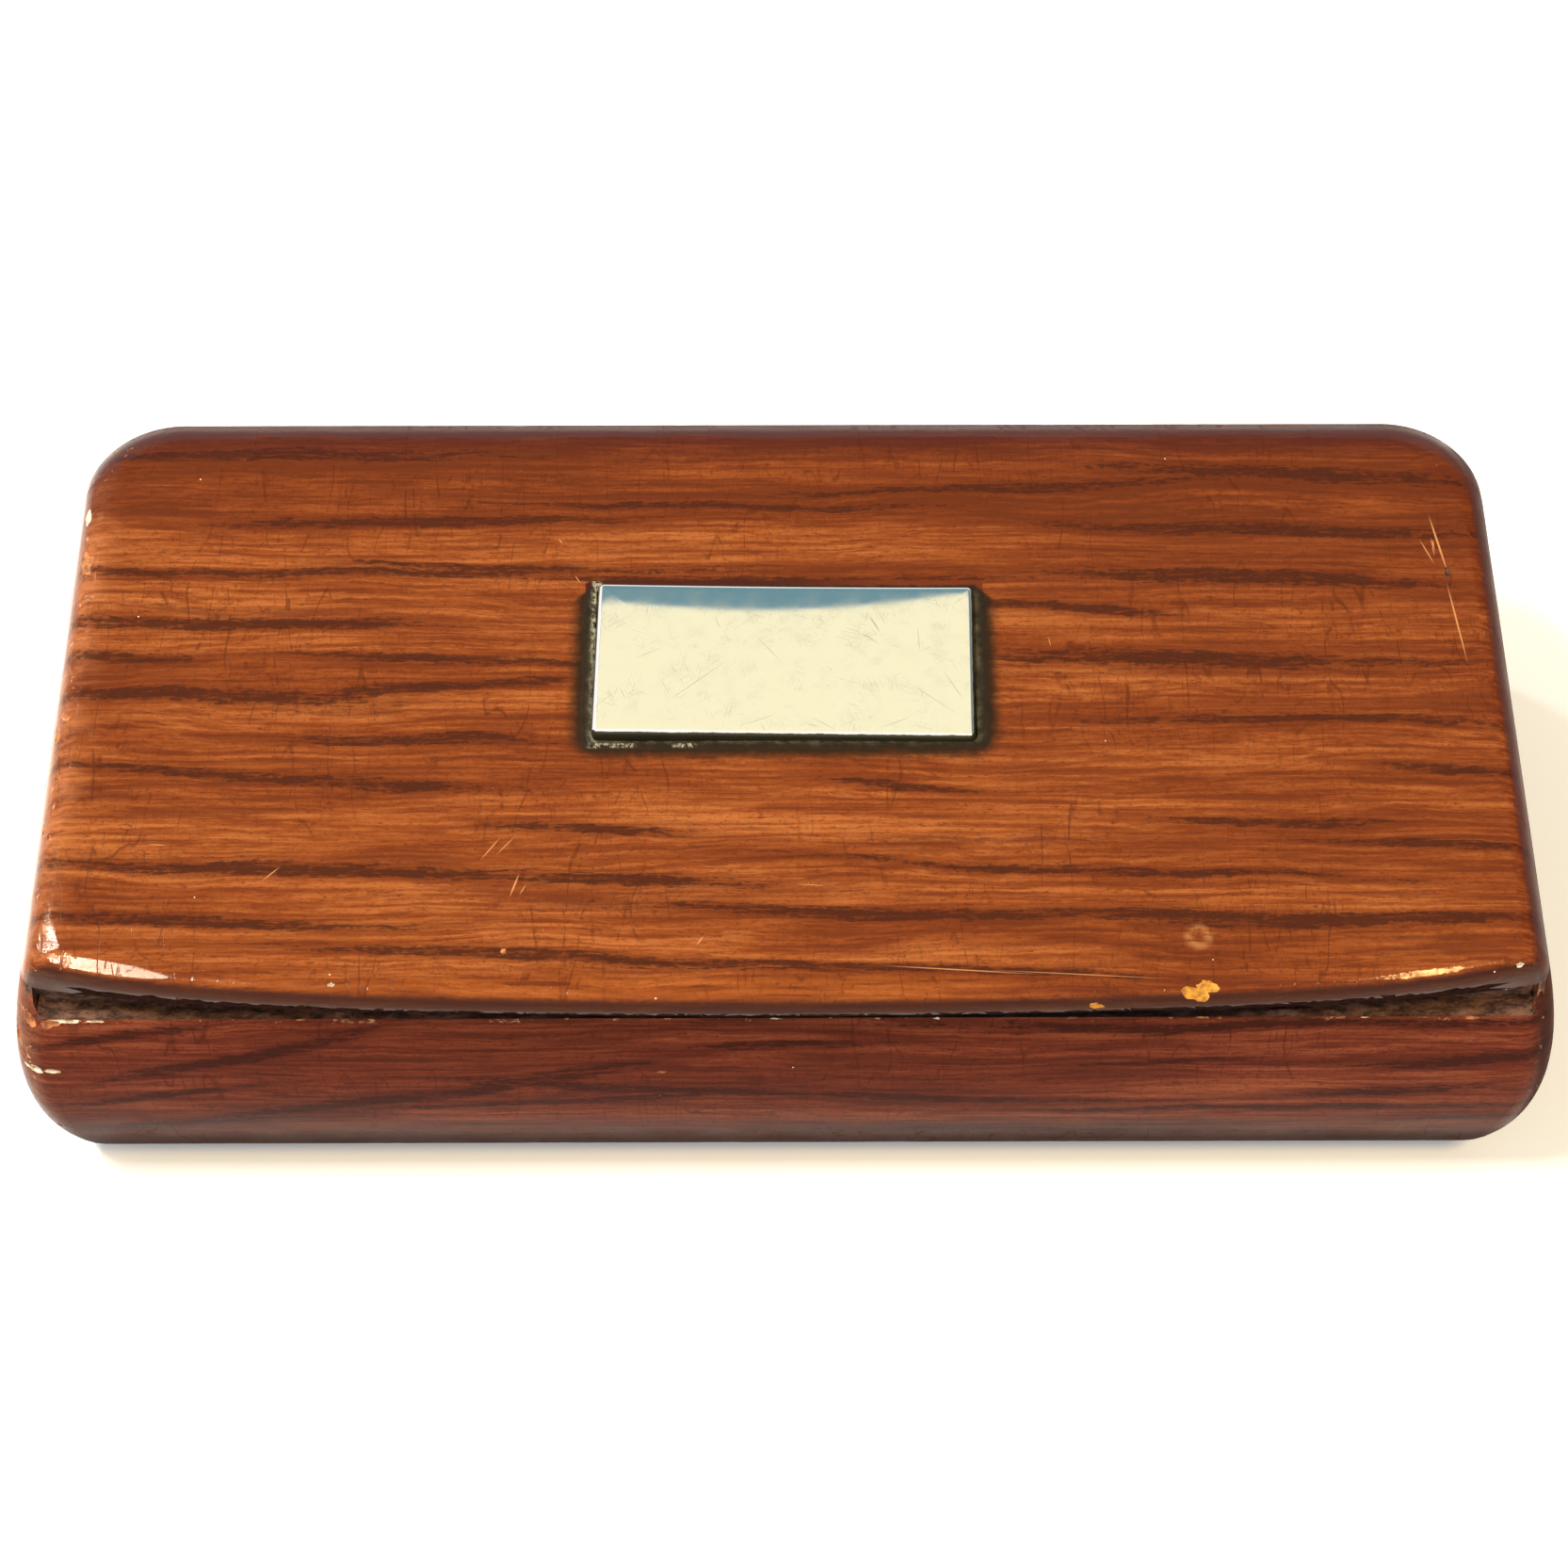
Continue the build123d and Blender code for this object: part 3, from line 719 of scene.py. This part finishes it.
def wornSilver():
    look = silverLook
    material, shader, position = newMaterial("wornSilver")
    z = split(position)[2]
    normalX, normalY = facing(position)[:2]
    marks = place(scratchGroup, position)
    scratches = marks["Scratches"]
    pits = place(speckGroup, position, Spacing=1.7, Size=0.09, Share=0.4)["Specks"]
    drawn = ramp(placedStrokes(position, plateScratches), -0.4, 0.8)
    colour = blend(ramp(marks["Haze"], 0.5, 0.75) * look["hazeShare"], look["bright"], look["tarnish"])
    for mask, share in ((scratches, "scratchShare"), (pits, "pitShare"), (drawn, "drawnShare")):
        colour = blend(mask * look[share], colour, look["pit"])

    # grime and a painted dark reflection on the turned-down edges, lower at the back and the left
    atFront = larger(ramp(normalY, *look["frontFacing"]), ramp(normalX, *look["rightFacing"]))
    depth = ramp(atFront, 0.0, 1.0, look["grimeShadeBelow"], look["frontGrimeShadeBelow"])
    uneven = cloud(position, 1.2, 4.0, 0.7) * look["grimeShadeUneven"] + z
    below = cadHigh.z / mm + look["aboveTop"] - uneven
    grimeAndShade = ramp(below - depth, *look["grimeShadeEdge"])
    colour = blend(grimeAndShade, colour, look["grimeAndShade"])
    rough = scratches * look["scratchRough"] + ramp(marks["Haze"], 0.35, 0.7, 0.11, 0.17)
    height = cloud(position, 0.35, 1.0) * look["waveHeight"] + scratches * look["scratchHeight"]
    plugAll(shader, {
        "Base Color": colour, "Metallic": ramp(grimeAndShade, 0.0, 1.0, 1.0, 0.35),
        "Roughness": grimeAndShade * look["grimeShadeRough"] + rough,
        "Normal": bump(pits * look["pitHeight"] + height)})
    return material


chipLook = {  # fresh colour, dirty colour and gloss of what shows where the varnish has flaked off, and of the painted shade under the lid's lip
    "ochreChip": ((212, 152, 42), (156, 98, 28), 0.5), "tanChip": ((196, 126, 70), (122, 72, 42), 0.5),
    "paleChip": ((238, 228, 208), (176, 150, 120), 0.5), "lipUnderShade": ((50, 30, 25), (30, 20, 17), 0.0),
}


def bareChip(name, fresh, dirty, gloss):
    material, shader, position = newMaterial(name)
    parts = place(grainGroup, position, Length=4.0, Width=0.3, Fibre=0.06, Cover=0.6)
    stain = cloud(position, 2.4, 4.0, 0.7)
    colour = blend(ramp(stain, 0.4, 0.65), fresh, dirty)
    plugAll(shader, {
        "Base Color": blend(parts["Strokes"] * 0.5, colour, dirty),
        "Roughness": ramp(stain, 0.3, 0.7, 0.55, 0.85), "Specular IOR Level": gloss,
        "Normal": bump(parts["Fibres"] * 0.01 + stain * 0.03)})
    return material


recessMaterial = recessWood()
ochreChip, tanChip, paleChip, lipUnderShade = (bareChip(name, *look) for name, look in chipLook.items())
rimMaterial = rimWood()
foilMaterial = tinFoil()
brassMaterial = brassWire()
masticMaterial = darkMastic()
silverMaterial = wornSilver()
print("other finishes made")


# Pieces

for name, material in {  # these keep their CAD shape
    "inner_rim": rimMaterial, "base_lining": foilMaterial, "lid_lining": foilMaterial,
    "hinge_pin": brassMaterial, "pin_plug_left": baseMaterial, "pin_plug_right": baseMaterial,
    "floor_board": baseMaterial, "plaque_pins": silverMaterial,
}.items():
    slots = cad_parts[name].data.materials
    slots.clear()
    slots.append(material)


def settle(piece, body, slotName, *nodes):
    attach(piece, body)
    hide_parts(*nodes)


def shadeSmooth(mesh, sharpAngle):
    for face in mesh.polygons:
        face.use_smooth = True
    mesh.set_sharp_from_angle(angle=math.radians(sharpAngle))


def copyOf(node, name, *materials):  # a new piece with the CAD piece's own mesh, welded
    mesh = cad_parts[node].data.copy()
    mesh.materials.clear()
    for material in materials:
        mesh.materials.append(material)
    shape = bmesh.new()
    shape.from_mesh(mesh)
    bmesh.ops.remove_doubles(shape, verts=shape.verts, dist=0.0005 * mm)
    for face in shape.faces:
        face.material_index = 0
    shape.to_mesh(mesh)
    shape.free()
    mesh.name = name
    mesh.attributes.remove(mesh.attributes["custom_normal"])
    shadeSmooth(mesh, woodForm["sharpAngle"])
    return putIn(name, mesh)


woodForm = {  # the dressed lid and base, in millimetres
    "sharpAngle": 28, "evenWeight": 80,
    "jointPitch": 8.6, "joints": 8, "jointFrom": 0.05, "jointTo": 0.004,
    "jointsBehind": 12.4, "recessEnd": 1.4, "recessFront": -16.2, "recessZ": (17.16, 19.25),
    "recessWall": -17.6, "recessFacing": 0.6, "lipFront": -17.2, "lipBelow": 20.6, "lipFacing": -0.08,
    "knuckleFront": 12.6, "knuckleAbove": 19.2, "lightRub": 0.02,
}
chipForm = {"rounds": 3, "ragged": 0.6, "raggedPitch": 1.6, "apart": 7.3, "tall": 1.6}


def closeJoints(piece):  # old varnish and dirt leave only a hairline between the knuckles
    form = woodForm
    joints = [form["jointPitch"] * (i - (form["joints"] - 1) / 2) for i in range(form["joints"])]
    for vertex in piece.data.vertices:
        x = vertex.co.x / mm
        joint = min(joints, key=lambda place: abs(place - x))
        if vertex.co.y / mm > form["jointsBehind"] and abs(x - joint) < form["jointFrom"]:
            vertex.co.x = (joint + math.copysign(form["jointTo"], x - joint)) * mm


def evenShading(piece):  # the big flat faces set the normals where they meet a rounded edge
    weighted = piece.modifiers.new("evenShading", "WEIGHTED_NORMAL")
    weighted.mode = "FACE_AREA"
    weighted.weight = woodForm["evenWeight"]
    weighted.keep_sharp = True


def cutChips(piece, chips):  # shallow ragged bites; the last value is the finish left in each
    form = chipForm
    shape = bmesh.new()
    for number, (x, y, z, along, across, depth, finish) in enumerate(chips):
        spot, normal = piece.closest_point_on_mesh(Vector((x, y, z)) * mm)[1:3]
        side = (Vector((1, 0, 0)) - normal * normal.x).normalized()
        up = normal.cross(side)
        height = depth * form["tall"]
        before = len(shape.faces)
        lump = bmesh.ops.create_icosphere(shape, subdivisions=form["rounds"], radius=1.0)
        apart = Vector((number * form["apart"], 0, 0))
        for vertex in lump["verts"]:
            ragged = noise.noise(vertex.co * form["raggedPitch"] + apart)
            out = vertex.co * (1 + form["ragged"] * ragged)
            lift = out.z * height + height - depth
            vertex.co = spot + (side * out.x * along + up * out.y * across + normal * lift) * mm
        shape.faces.ensure_lookup_table()
        for index in range(before, len(shape.faces)):
            shape.faces[index].material_index = list(piece.data.materials).index(finish)
    mesh = bpy.data.meshes.new("chipCutter")
    shape.to_mesh(mesh)
    shape.free()
    for material in piece.data.materials:
        mesh.materials.append(material)
    cutter = putIn("chipCutter", mesh)
    bite = piece.modifiers.new("chips", "BOOLEAN")
    bite.operation = "DIFFERENCE"
    bite.solver = "EXACT"
    bite.use_self = True
    bite.object = cutter
    graph = bpy.context.evaluated_depsgraph_get()
    bitten = bpy.data.meshes.new_from_object(piece.evaluated_get(graph))
    piece.modifiers.clear()
    piece.data = bitten
    bitten.name = piece.name
    shadeSmooth(bitten, woodForm["sharpAngle"])
    bpy.data.objects.remove(cutter)


wornFacets = [  # a point on each facet where fingers have rubbed the lid's edge, and its direction
    ((-37.9, -16.85, 21.5), (-0.064, -0.32, 0.945)),
    ((-37.55, -17.0, 21.5), (-0.15, -0.04, 0.988)),
    ((33.2, None, 21.5), (0.0647, -0.4377, 0.897)),
]


def rubFacet(piece, spot, direction):  # slices off what stands above a plane
    normal = Vector(direction).normalized()
    shape = bmesh.new()
    shape.from_mesh(piece.data)
    if spot[1] is None:  # as deep as a light rub at the furthest point that way
        furthest = max(vertex.co.dot(normal) for vertex in shape.verts)
        point = normal * (furthest - woodForm["lightRub"] * mm)
    else:
        point = Vector(spot) * mm
    cut = bmesh.ops.bisect_plane(shape, geom=shape.verts[:] + shape.edges[:] + shape.faces[:],
                                 plane_co=point, plane_no=normal, dist=1e-8, clear_outer=True)
    rim = [edge for edge in cut["geom_cut"] if isinstance(edge, bmesh.types.BMEdge)]
    bmesh.ops.holes_fill(shape, edges=rim)
    shape.to_mesh(piece.data)
    shape.free()


def insideRecess(centre, normal):  # the raw faces of the thumb groove under the lid's lip
    form = woodForm
    low, high = form["recessZ"]
    within = abs(centre.x) < (cadHigh.x - form["recessEnd"] * mm) and low * mm < centre.z < high * mm
    flat = abs(normal.z) > form["recessFacing"] or centre.y > form["recessWall"] * mm
    return within and flat and centre.y < form["recessFront"] * mm


def underLip(centre, normal):  # where the lid's lip turns under, given a dark, dull painted shade
    form = woodForm
    near = centre.y < form["lipFront"] * mm and centre.z < form["lipBelow"] * mm
    return near and normal.z < form["lipFacing"]


def onKnuckle(centre):  # the base's share of the hinge, finished in one piece with the lid
    return centre.y > woodForm["knuckleFront"] * mm and centre.z > woodForm["knuckleAbove"] * mm


base = copyOf("base_walls", "grained_base", baseMaterial, recessMaterial, lidMaterial, tanChip, paleChip)
for face in base.data.polygons:
    if onKnuckle(face.center):
        face.material_index = 2
    if insideRecess(face.center, face.normal):
        face.material_index = 1
closeJoints(base)
arrisDraw = random.Random(6)
arrisForm = {  # small bites along the base's front arris
    "count": 12, "x": (-36, 37), "y": -18.52, "z": 17.15,
    "along": (0.1, 0.4), "across": (0.05, 0.1), "depth": (0.04, 0.09),
}
baseChips = [
    (-39.9, -18.7, 13.1, 0.8, 0.26, 0.18, paleChip), (-39.1, -19.0, 13.2, 0.4, 0.2, 0.12, paleChip),
    (-40.2, -18.3, 13.9, 0.5, 0.34, 0.13, tanChip), (-40.5, -17.9, 14.9, 0.4, 0.6, 0.12, tanChip),
    (-40.8, -17.2, 12.4, 0.34, 0.5, 0.15, paleChip), (-38.7, -18.6, 16.9, 0.6, 0.3, 0.17, tanChip),
    (-37.9, -18.5, 17.1, 0.8, 0.2, 0.16, paleChip), (-36.2, -18.6, 17.1, 0.5, 0.1, 0.1, paleChip),
    (-39.3, -17.6, 16.6, 0.35, 0.5, 0.15, tanChip), (38.8, -18.2, 17.0, 0.7, 0.2, 0.14, tanChip),
    (36.0, -18.5, 17.1, 0.45, 0.12, 0.1, tanChip), (-6.6, -19.3, 13.0, 0.3, 0.1, 0.05, tanChip),
    (-39.8, -18.9, 6.6, 0.25, 0.3, 0.1, tanChip),
]
for draw in range(arrisForm["count"]):
    x = arrisDraw.uniform(*arrisForm["x"])
    sizes = [arrisDraw.uniform(*arrisForm[key]) for key in ("along", "across", "depth")]
    finish = arrisDraw.choice((tanChip, tanChip, paleChip))
    baseChips.append((x, arrisForm["y"], arrisForm["z"], *sizes, finish))
cutChips(base, baseChips)
evenShading(base)
settle(base, "base", "grained_wood", "base_walls")

lid = copyOf("lid_board", "grained_lid", lidMaterial, ochreChip, tanChip, paleChip, recessMaterial,
             lipUnderShade)
for face in lid.data.polygons:
    if underLip(face.center, face.normal):
        face.material_index = 5
closeJoints(lid)
for spot, direction in wornFacets:
    rubFacet(lid, spot, direction)
lidChips = [
    (21.2, -19.4, 21.2, 0.78, 0.62, 0.16, ochreChip), (21.7, -19.1, 21.3, 0.5, 0.42, 0.1, ochreChip),
    (15.9, -19.9, 20.8, 0.4, 0.22, 0.1, ochreChip), (36.9, 7.5, 21.4, 0.2, 0.42, 0.16, recessMaterial),
    (36.3, 9.4, 21.4, 0.1, 0.7, 0.06, tanChip), (37.0, 15.1, 21.3, 0.36, 0.3, 0.05, tanChip),
    (-38.9, 8.4, 21.3, 0.45, 0.9, 0.14, tanChip),
    (-38.7, 6.0, 21.4, 0.6, 0.22, 0.08, tanChip), (-39.2, 12.0, 21.1, 0.3, 0.6, 0.12, paleChip),
    (-39.4, -3.0, 21.1, 0.3, 0.5, 0.1, tanChip), (-39.7, -9.0, 21.0, 0.25, 0.4, 0.1, tanChip),
    (38.1, -18.0, 21.3, 0.22, 0.17, 0.08, paleChip), (-23.4, -18.9, 21.4, 0.18, 0.12, 0.05, paleChip),
    (-14.6, -17.0, 21.5, 0.14, 0.16, 0.04, tanChip),
]
cutChips(lid, lidChips)
evenShading(lid)
settle(lid, "lid", "grained_wood", "lid_board")
print("wooden pieces made")


def roundedRing(halfX, halfY, radius, steps=5, alongX=26, alongY=13):  # points round a rectangle
    arcs = []
    for signX, signY, start in ((1, 1, 0), (-1, 1, 90), (-1, -1, 180), (1, -1, 270)):
        cx = signX * (halfX - radius)
        cy = signY * (halfY - radius)
        turns = [math.radians(start + 90 * step / steps) for step in range(steps + 1)]
        arcs.append([(cx + radius * math.cos(turn), cy + radius * math.sin(turn)) for turn in turns])
    points = []
    for arc, following, run in zip(arcs, arcs[1:] + arcs[:1], (alongX, alongY) * 2):
        points += arc
        (fromX, fromY), (toX, toY) = arc[-1], following[0]
        for step in range(1, run):
            share = step / run
            points.append((fromX + (toX - fromX) * share, fromY + (toY - fromY) * share))
    return points


def stackRings(name, rings, material, centre, sharpAngle=50):  # a closed skin, capped at both ends
    shape = bmesh.new()
    made = []
    for ring in rings:
        made.append([shape.verts.new((centre.x + x * mm, centre.y + y * mm, z * mm)) for x, y, z in ring])
    count = len(made[0])
    for lower, upper in zip(made, made[1:]):
        for i in range(count):
            j = (i + 1) % count
            shape.faces.new((lower[i], lower[j], upper[j], upper[i]))
    shape.faces.new(list(reversed(made[0])))
    shape.faces.new(made[-1])
    bmesh.ops.triangulate(shape, faces=[face for face in shape.faces if len(face.verts) > 4])
    bmesh.ops.recalc_face_normals(shape, faces=shape.faces)
    mesh = bpy.data.meshes.new(name)
    shape.to_mesh(mesh)
    shape.free()
    mesh.materials.append(material)
    shadeSmooth(mesh, sharpAngle)
    return putIn(name, mesh)


tornForm = {
    "half": 39.2, "roundFrom": 38.4, "roundRadius": 0.9, "step": 0.16, "floor": 17.2, "ceiling": 19.22,
    "back": -17.336, "front": -18.47, "sunk": 0.1, "rough": 0.2, "points": 22, "endEase": 0.8,
    "frontEase": 0.25, "level": 0.35, "deepest": -0.3, "pitchX": 1.3, "pitchRun": 0.32,
    "fine": 0.6, "finePitchX": 0.35, "finePitchRun": 0.2, "aboveFloor": 0.02, "behindFront": 0.05,
}


def makeTornRecess():  # the raw, torn wood along the floor and the back of the thumb recess
    form = tornForm
    half, radius = form["half"], form["roundRadius"]
    floorRun = form["back"] - form["front"]
    wallRun = form["ceiling"] - form["floor"]
    stations = round(2 * half / form["step"])
    rings = []
    for i in range(stations + 1):
        x = -half + 2 * half * i / stations
        past = min(max(0.0, abs(x) - form["roundFrom"]), radius)
        climb = radius - math.sqrt(radius ** 2 - past ** 2)
        ease = min(1.0, (half - abs(x)) / form["endEase"])
        face = []
        for j in range(form["points"] + 1):
            run = (floorRun + wallRun) * j / form["points"]
            tear = noise.noise(Vector((x / form["pitchX"], run / form["pitchRun"], 0.5)))
            fine = noise.noise(Vector((x / form["finePitchX"], run / form["finePitchRun"], 9.0)))
            tear += form["fine"] * fine
            tear = form["rough"] * ease * (form["level"] + max(form["deepest"], tear))
            if run < floorRun:
                rise = tear * min(1.0, run / form["frontEase"])
                face.append((x, form["front"] + run, form["floor"] + rise))
            else:
                face.append((x, form["back"] - tear, form["floor"] + run - floorRun))
        least = form["floor"] + climb + form["aboveFloor"]
        face = [(x, y, max(z, least)) for x, y, z in face]
        hidden = [(x, form["back"] + form["sunk"], form["ceiling"]),
                  (x, form["back"] + form["sunk"], form["floor"] - form["sunk"]),
                  (x, form["front"] + form["behindFront"], form["floor"] - form["sunk"])]
        rings.append(face + hidden)
    return stackRings("torn_recess", rings, recessMaterial, Vector((0, 0, 0)))


torn = makeTornRecess()
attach(torn, "base")
print("torn recess made")

plaqueForm = {
    "edgeRadius": 0.28, "corner": 0.35, "innerCorner": 0.12, "sheet": 0.3, "hollow": 0.4, "ripple": 0.01,
    "ripplePitch": 6.0, "farBend": 2.05, "farEase": 0.6, "farTaper": 0.21, "farBow": 0.5,
    "farSlope": 0.1, "centre": 0.15, "leastCorner": 0.05, "edgeSteps": 7, "topRings": 15, "skew": -0.95,
}


def makePlaque():
    low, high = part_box("silver_plaque")
    half = sized(low, high)[1]
    top = high.z / mm
    foot = low.z / mm
    form = plaqueForm
    radius, corner, sheet = form["edgeRadius"], form["corner"], form["sheet"]

    def topHeight(x, y):  # nearly flat, with a soft ripple and its far edge eased down
        ripple = noise.noise(Vector((x, y, 3.0)) / form["ripplePitch"]) - 1.0
        share = x / half.x
        bend = form["farBend"] * (1 - form["farTaper"] * share - form["farBow"] * share ** 2)
        past = max(0.0, y - (half.y - bend))
        eased = past * past / (past + form["farEase"])
        return top + form["ripple"] * ripple - form["farSlope"] * eased

    inner = roundedRing(half.x - sheet, half.y - sheet, form["innerCorner"])
    rings = [
        [(x, y, top - form["hollow"]) for x, y in inner],
        [(x, y, foot) for x, y in inner],
        [(x, y, foot) for x, y in roundedRing(half.x, half.y, corner)],
    ]
    for step in range(form["edgeSteps"] + 1):
        turn = math.radians(90 * step / form["edgeSteps"])
        inset = radius * (1 - math.cos(turn))
        ring = roundedRing(half.x - inset, half.y - inset, corner - inset)
        rings.append([(x, y, topHeight(x, y) - radius + radius * math.sin(turn)) for x, y in ring])
    for step in range(1, form["topRings"] + 1):
        inset = radius + (half.y - radius - form["centre"]) * step / form["topRings"]
        ring = roundedRing(half.x - inset, half.y - inset, max(form["leastCorner"], corner - inset))
        rings.append([(x, y, topHeight(x, y)) for x, y in ring])
    skew = math.radians(form["skew"])  # it was never let in quite square
    rings = [[(x * math.cos(skew) - y * math.sin(skew), x * math.sin(skew) + y * math.cos(skew), z)
              for x, y, z in ring] for ring in rings]
    return stackRings("engraving_plate", rings, silverMaterial, (low + high) / 2)


bedForm = {
    "ragged": 0.26, "raggedPitch": 2.2, "fine": 0.35, "finePitch": 0.66, "lip": 0.16, "top": 21.43,
    "crest": 21.53, "edge": 21.492, "gap": 0.02, "inset": 0.03, "lumps": 0.03, "lumpPitch": 0.5,
    "corner": 0.4, "crestCorner": 0.3, "plateCorner": 0.35, "edgeWidth": 0.5, "endOut": 0.25,
    "sideOut": 0.1, "sideShare": 0.7, "crestShare": 0.8, "aboveFoot": 0.01, "skirt": 0.1,
    "divisions": (8, 150, 80),
}


def makeBed():
    low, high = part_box("plaque_bed")
    plaqueLow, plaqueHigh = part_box("silver_plaque")
    half = sized(low, high)[1]
    plate = sized(plaqueLow, plaqueHigh)[1]
    form = bedForm

    def ragged(points, share, z, lumps):
        ring = []
        for x, y in points:
            wobble = noise.noise(Vector((x, y, 11.0)) / form["raggedPitch"])
            wobble += form["fine"] * noise.noise(Vector((x, y, 5.0)) / form["finePitch"])
            outX = share * form["ragged"] * (form["endOut"] + wobble)
            outY = share * form["ragged"] * (form["sideOut"] + wobble * form["sideShare"])
            outX *= 1 if abs(x) > half.x - form["edgeWidth"] else 0
            outY *= 1 if abs(y) > half.y - form["edgeWidth"] else 0
            lump = lumps * noise.noise(Vector((x, y, 2.0)) / form["lumpPitch"])
            ring.append((x + math.copysign(outX, x), y + math.copysign(outY, y), z + lump))
        return ring

    def ringAt(halves, inset, corner):
        return roundedRing(halves.x - inset, halves.y - inset, corner, *form["divisions"])

    outline = ringAt(half, 0.0, form["corner"])
    crest = ringAt(half, form["lip"], form["crestCorner"])
    inside = ringAt(plate, -form["gap"], form["plateCorner"])
    sunk = ringAt(half, form["inset"], form["corner"] - form["inset"])
    rings = [
        [(x, y, low.z / mm + form["aboveFoot"]) for x, y in sunk],
        [(x, y, form["edge"] - form["skirt"]) for x, y in sunk],
        ragged(outline, 1.0, form["edge"], 0.0),
        ragged(crest, form["crestShare"], form["crest"], form["lumps"]),
        ragged(inside, 0.0, form["top"], form["lumps"]),
        [(x, y, plaqueLow.z / mm) for x, y in inside],
    ]
    return stackRings("plaque_bedding", rings, masticMaterial, (low + high) / 2)


settle(makePlaque(), "lid", "silver", "silver_plaque")
settle(makeBed(), "lid", "mastic", "plaque_bed")
print("plaque and bed made")


# Floor, light and camera

floorLook = {
    "half": 2.0, "shade": (0.93, 0.93, 0.93, 1), "light": (0.96, 0.96, 0.955, 1), "rough": 0.8,
    "gloss": 0.1, "glow": 0.22,
}


def paleFloor():
    look = floorLook
    mesh = bpy.data.meshes.new("floor")
    half = look["half"]
    corners = [(-half, -half, 0), (half, -half, 0), (half, half, 0), (-half, half, 0)]
    mesh.from_pydata(corners, [], [(0, 1, 2, 3)])
    floor = putIn("floor", mesh)
    material, shader, position = newMaterial("paleFloor")
    plugAll(shader, {
        "Base Color": blend(cloud(position, 0.02, 3.0), look["shade"], look["light"]),
        "Roughness": look["rough"], "Specular IOR Level": look["gloss"],
        "Emission Color": (1, 1, 1, 1),
        "Emission Strength": seenDirectly(material.node_tree) * look["glow"]})
    mesh.materials.append(material)


skyLook = {
    "white": (1.0, 1.0, 1.0, 1.0), "cream": (1.0, 0.93, 0.64, 1.0), "blue": (0.14, 0.28, 0.34, 1.0),
    "creamFrom": 48.5, "blueFrom": 26.0, "behind": (0.1, 0.35), "level": 0.575, "leftEnd": (-0.39, -0.29),
    "soft": 0.022, "dim": (0.16, 0.16, 0.17, 1.0), "dimFrom": 0.3, "dimTo": 0.7, "dimShare": 0.85,
}


def softSky():  # white all round, a blue grey band behind the box and cream above it
    look = skyLook
    world = bpy.data.worlds.new("softSky")
    bpy.context.scene.world = world
    world.use_nodes = True
    tree = world.node_tree
    tree.nodes.clear()
    x, y, z = split(wire(tree, "TexCoord", "Generated"))
    creamZ = math.sin(math.radians(look["creamFrom"]))
    blueZ = math.sin(math.radians(look["blueFrom"]))
    soft = look["soft"]
    behind = ramp(y, *look["behind"]) * ramp(x, *look["leftEnd"])
    colour = blend(ramp(z, creamZ - soft, creamZ + soft) * behind, look["white"], look["cream"])
    colour = blend(band(z, blueZ, creamZ, soft) * behind, colour, look["blue"])
    right = ramp(x, look["dimFrom"], look["dimTo"], 0.0, look["dimShare"])
    colour = blend(right, colour, look["dim"])
    level = ramp(seenDirectly(tree), 0.0, 1.0, look["level"], 1.0)
    background = wire(tree, "Background", 0, {"Color": colour, "Strength": level})
    add(tree, "OutputWorld", {"Surface": background})


def softBox(name, start, end, width, power, colour):  # a strip from start to end, facing the box
    lamp = bpy.data.lights.new(name, "AREA")
    lamp.shape = "RECTANGLE"
    run = Vector(end) - Vector(start)
    lamp.size, lamp.size_y = width, run.length
    lamp.energy = power
    lamp.color = colour
    middle = (Vector(start) + Vector(end)) / 2
    away = middle.normalized()
    along = (run - away * run.dot(away)).normalized()
    axes = Matrix((along.cross(away), along, away)).transposed().to_4x4()
    holder = putIn(name, lamp)
    holder.matrix_world = Matrix.Translation(middle) @ axes
    holder.visible_camera = False


lampLook = {  # start and end of each strip, its width, its power and its colour
    "leftWindow": ((-0.19, 0.0, 0.468), (-0.18, -0.12, 0.457), 0.036, 2.2, (1.0, 0.96, 0.9)),
    "leftSlit": ((-0.303, 0.24, 0.484), (-0.308, 0.28, 0.484), 0.03, 0.8, (1.0, 0.97, 0.92)),
    "goldLamp": ((0.199, -0.16, 0.56), (0.229, -0.27, 0.525), 0.022, 1.9, (1.0, 0.74, 0.34)),
}


cameraLook = {  # fitted to the box's outline in the photograph, in radians and millimetres
    "lens": 81.42, "down": 0.97738, "roll": 0.00298, "yaw": 0.0064,
    "place": (-0.012, -112.40, 178.39), "sensor": 36.0, "nearest": 5.0,
}


def setCamera():
    look = cameraLook
    lens = bpy.data.cameras.new("camera")
    lens.lens = look["lens"]
    lens.sensor_width = look["sensor"]
    lens.clip_start = look["nearest"] * mm
    camera = putIn("camera", lens)
    down = look["down"]
    right = Vector((1, 0, 0))
    up = Vector((0, math.sin(down), math.cos(down)))
    forward = Vector((0, math.cos(down), -math.sin(down)))
    turnedRight = right * math.cos(look["roll"]) + up * math.sin(look["roll"])
    turnedUp = up * math.cos(look["roll"]) - right * math.sin(look["roll"])
    axes = Matrix((turnedRight, turnedUp, -forward)).transposed().to_4x4()
    placed = Matrix.Translation(Vector(look["place"]) * mm) @ axes
    camera.matrix_world = Matrix.Rotation(-look["yaw"], 4, "Z") @ placed
    bpy.context.scene.camera = camera


paleFloor()
softSky()
for name, lamp in lampLook.items():
    softBox(name, *lamp)
setCamera()
bpy.context.scene.view_settings.view_transform = "Standard"
print("stage made")
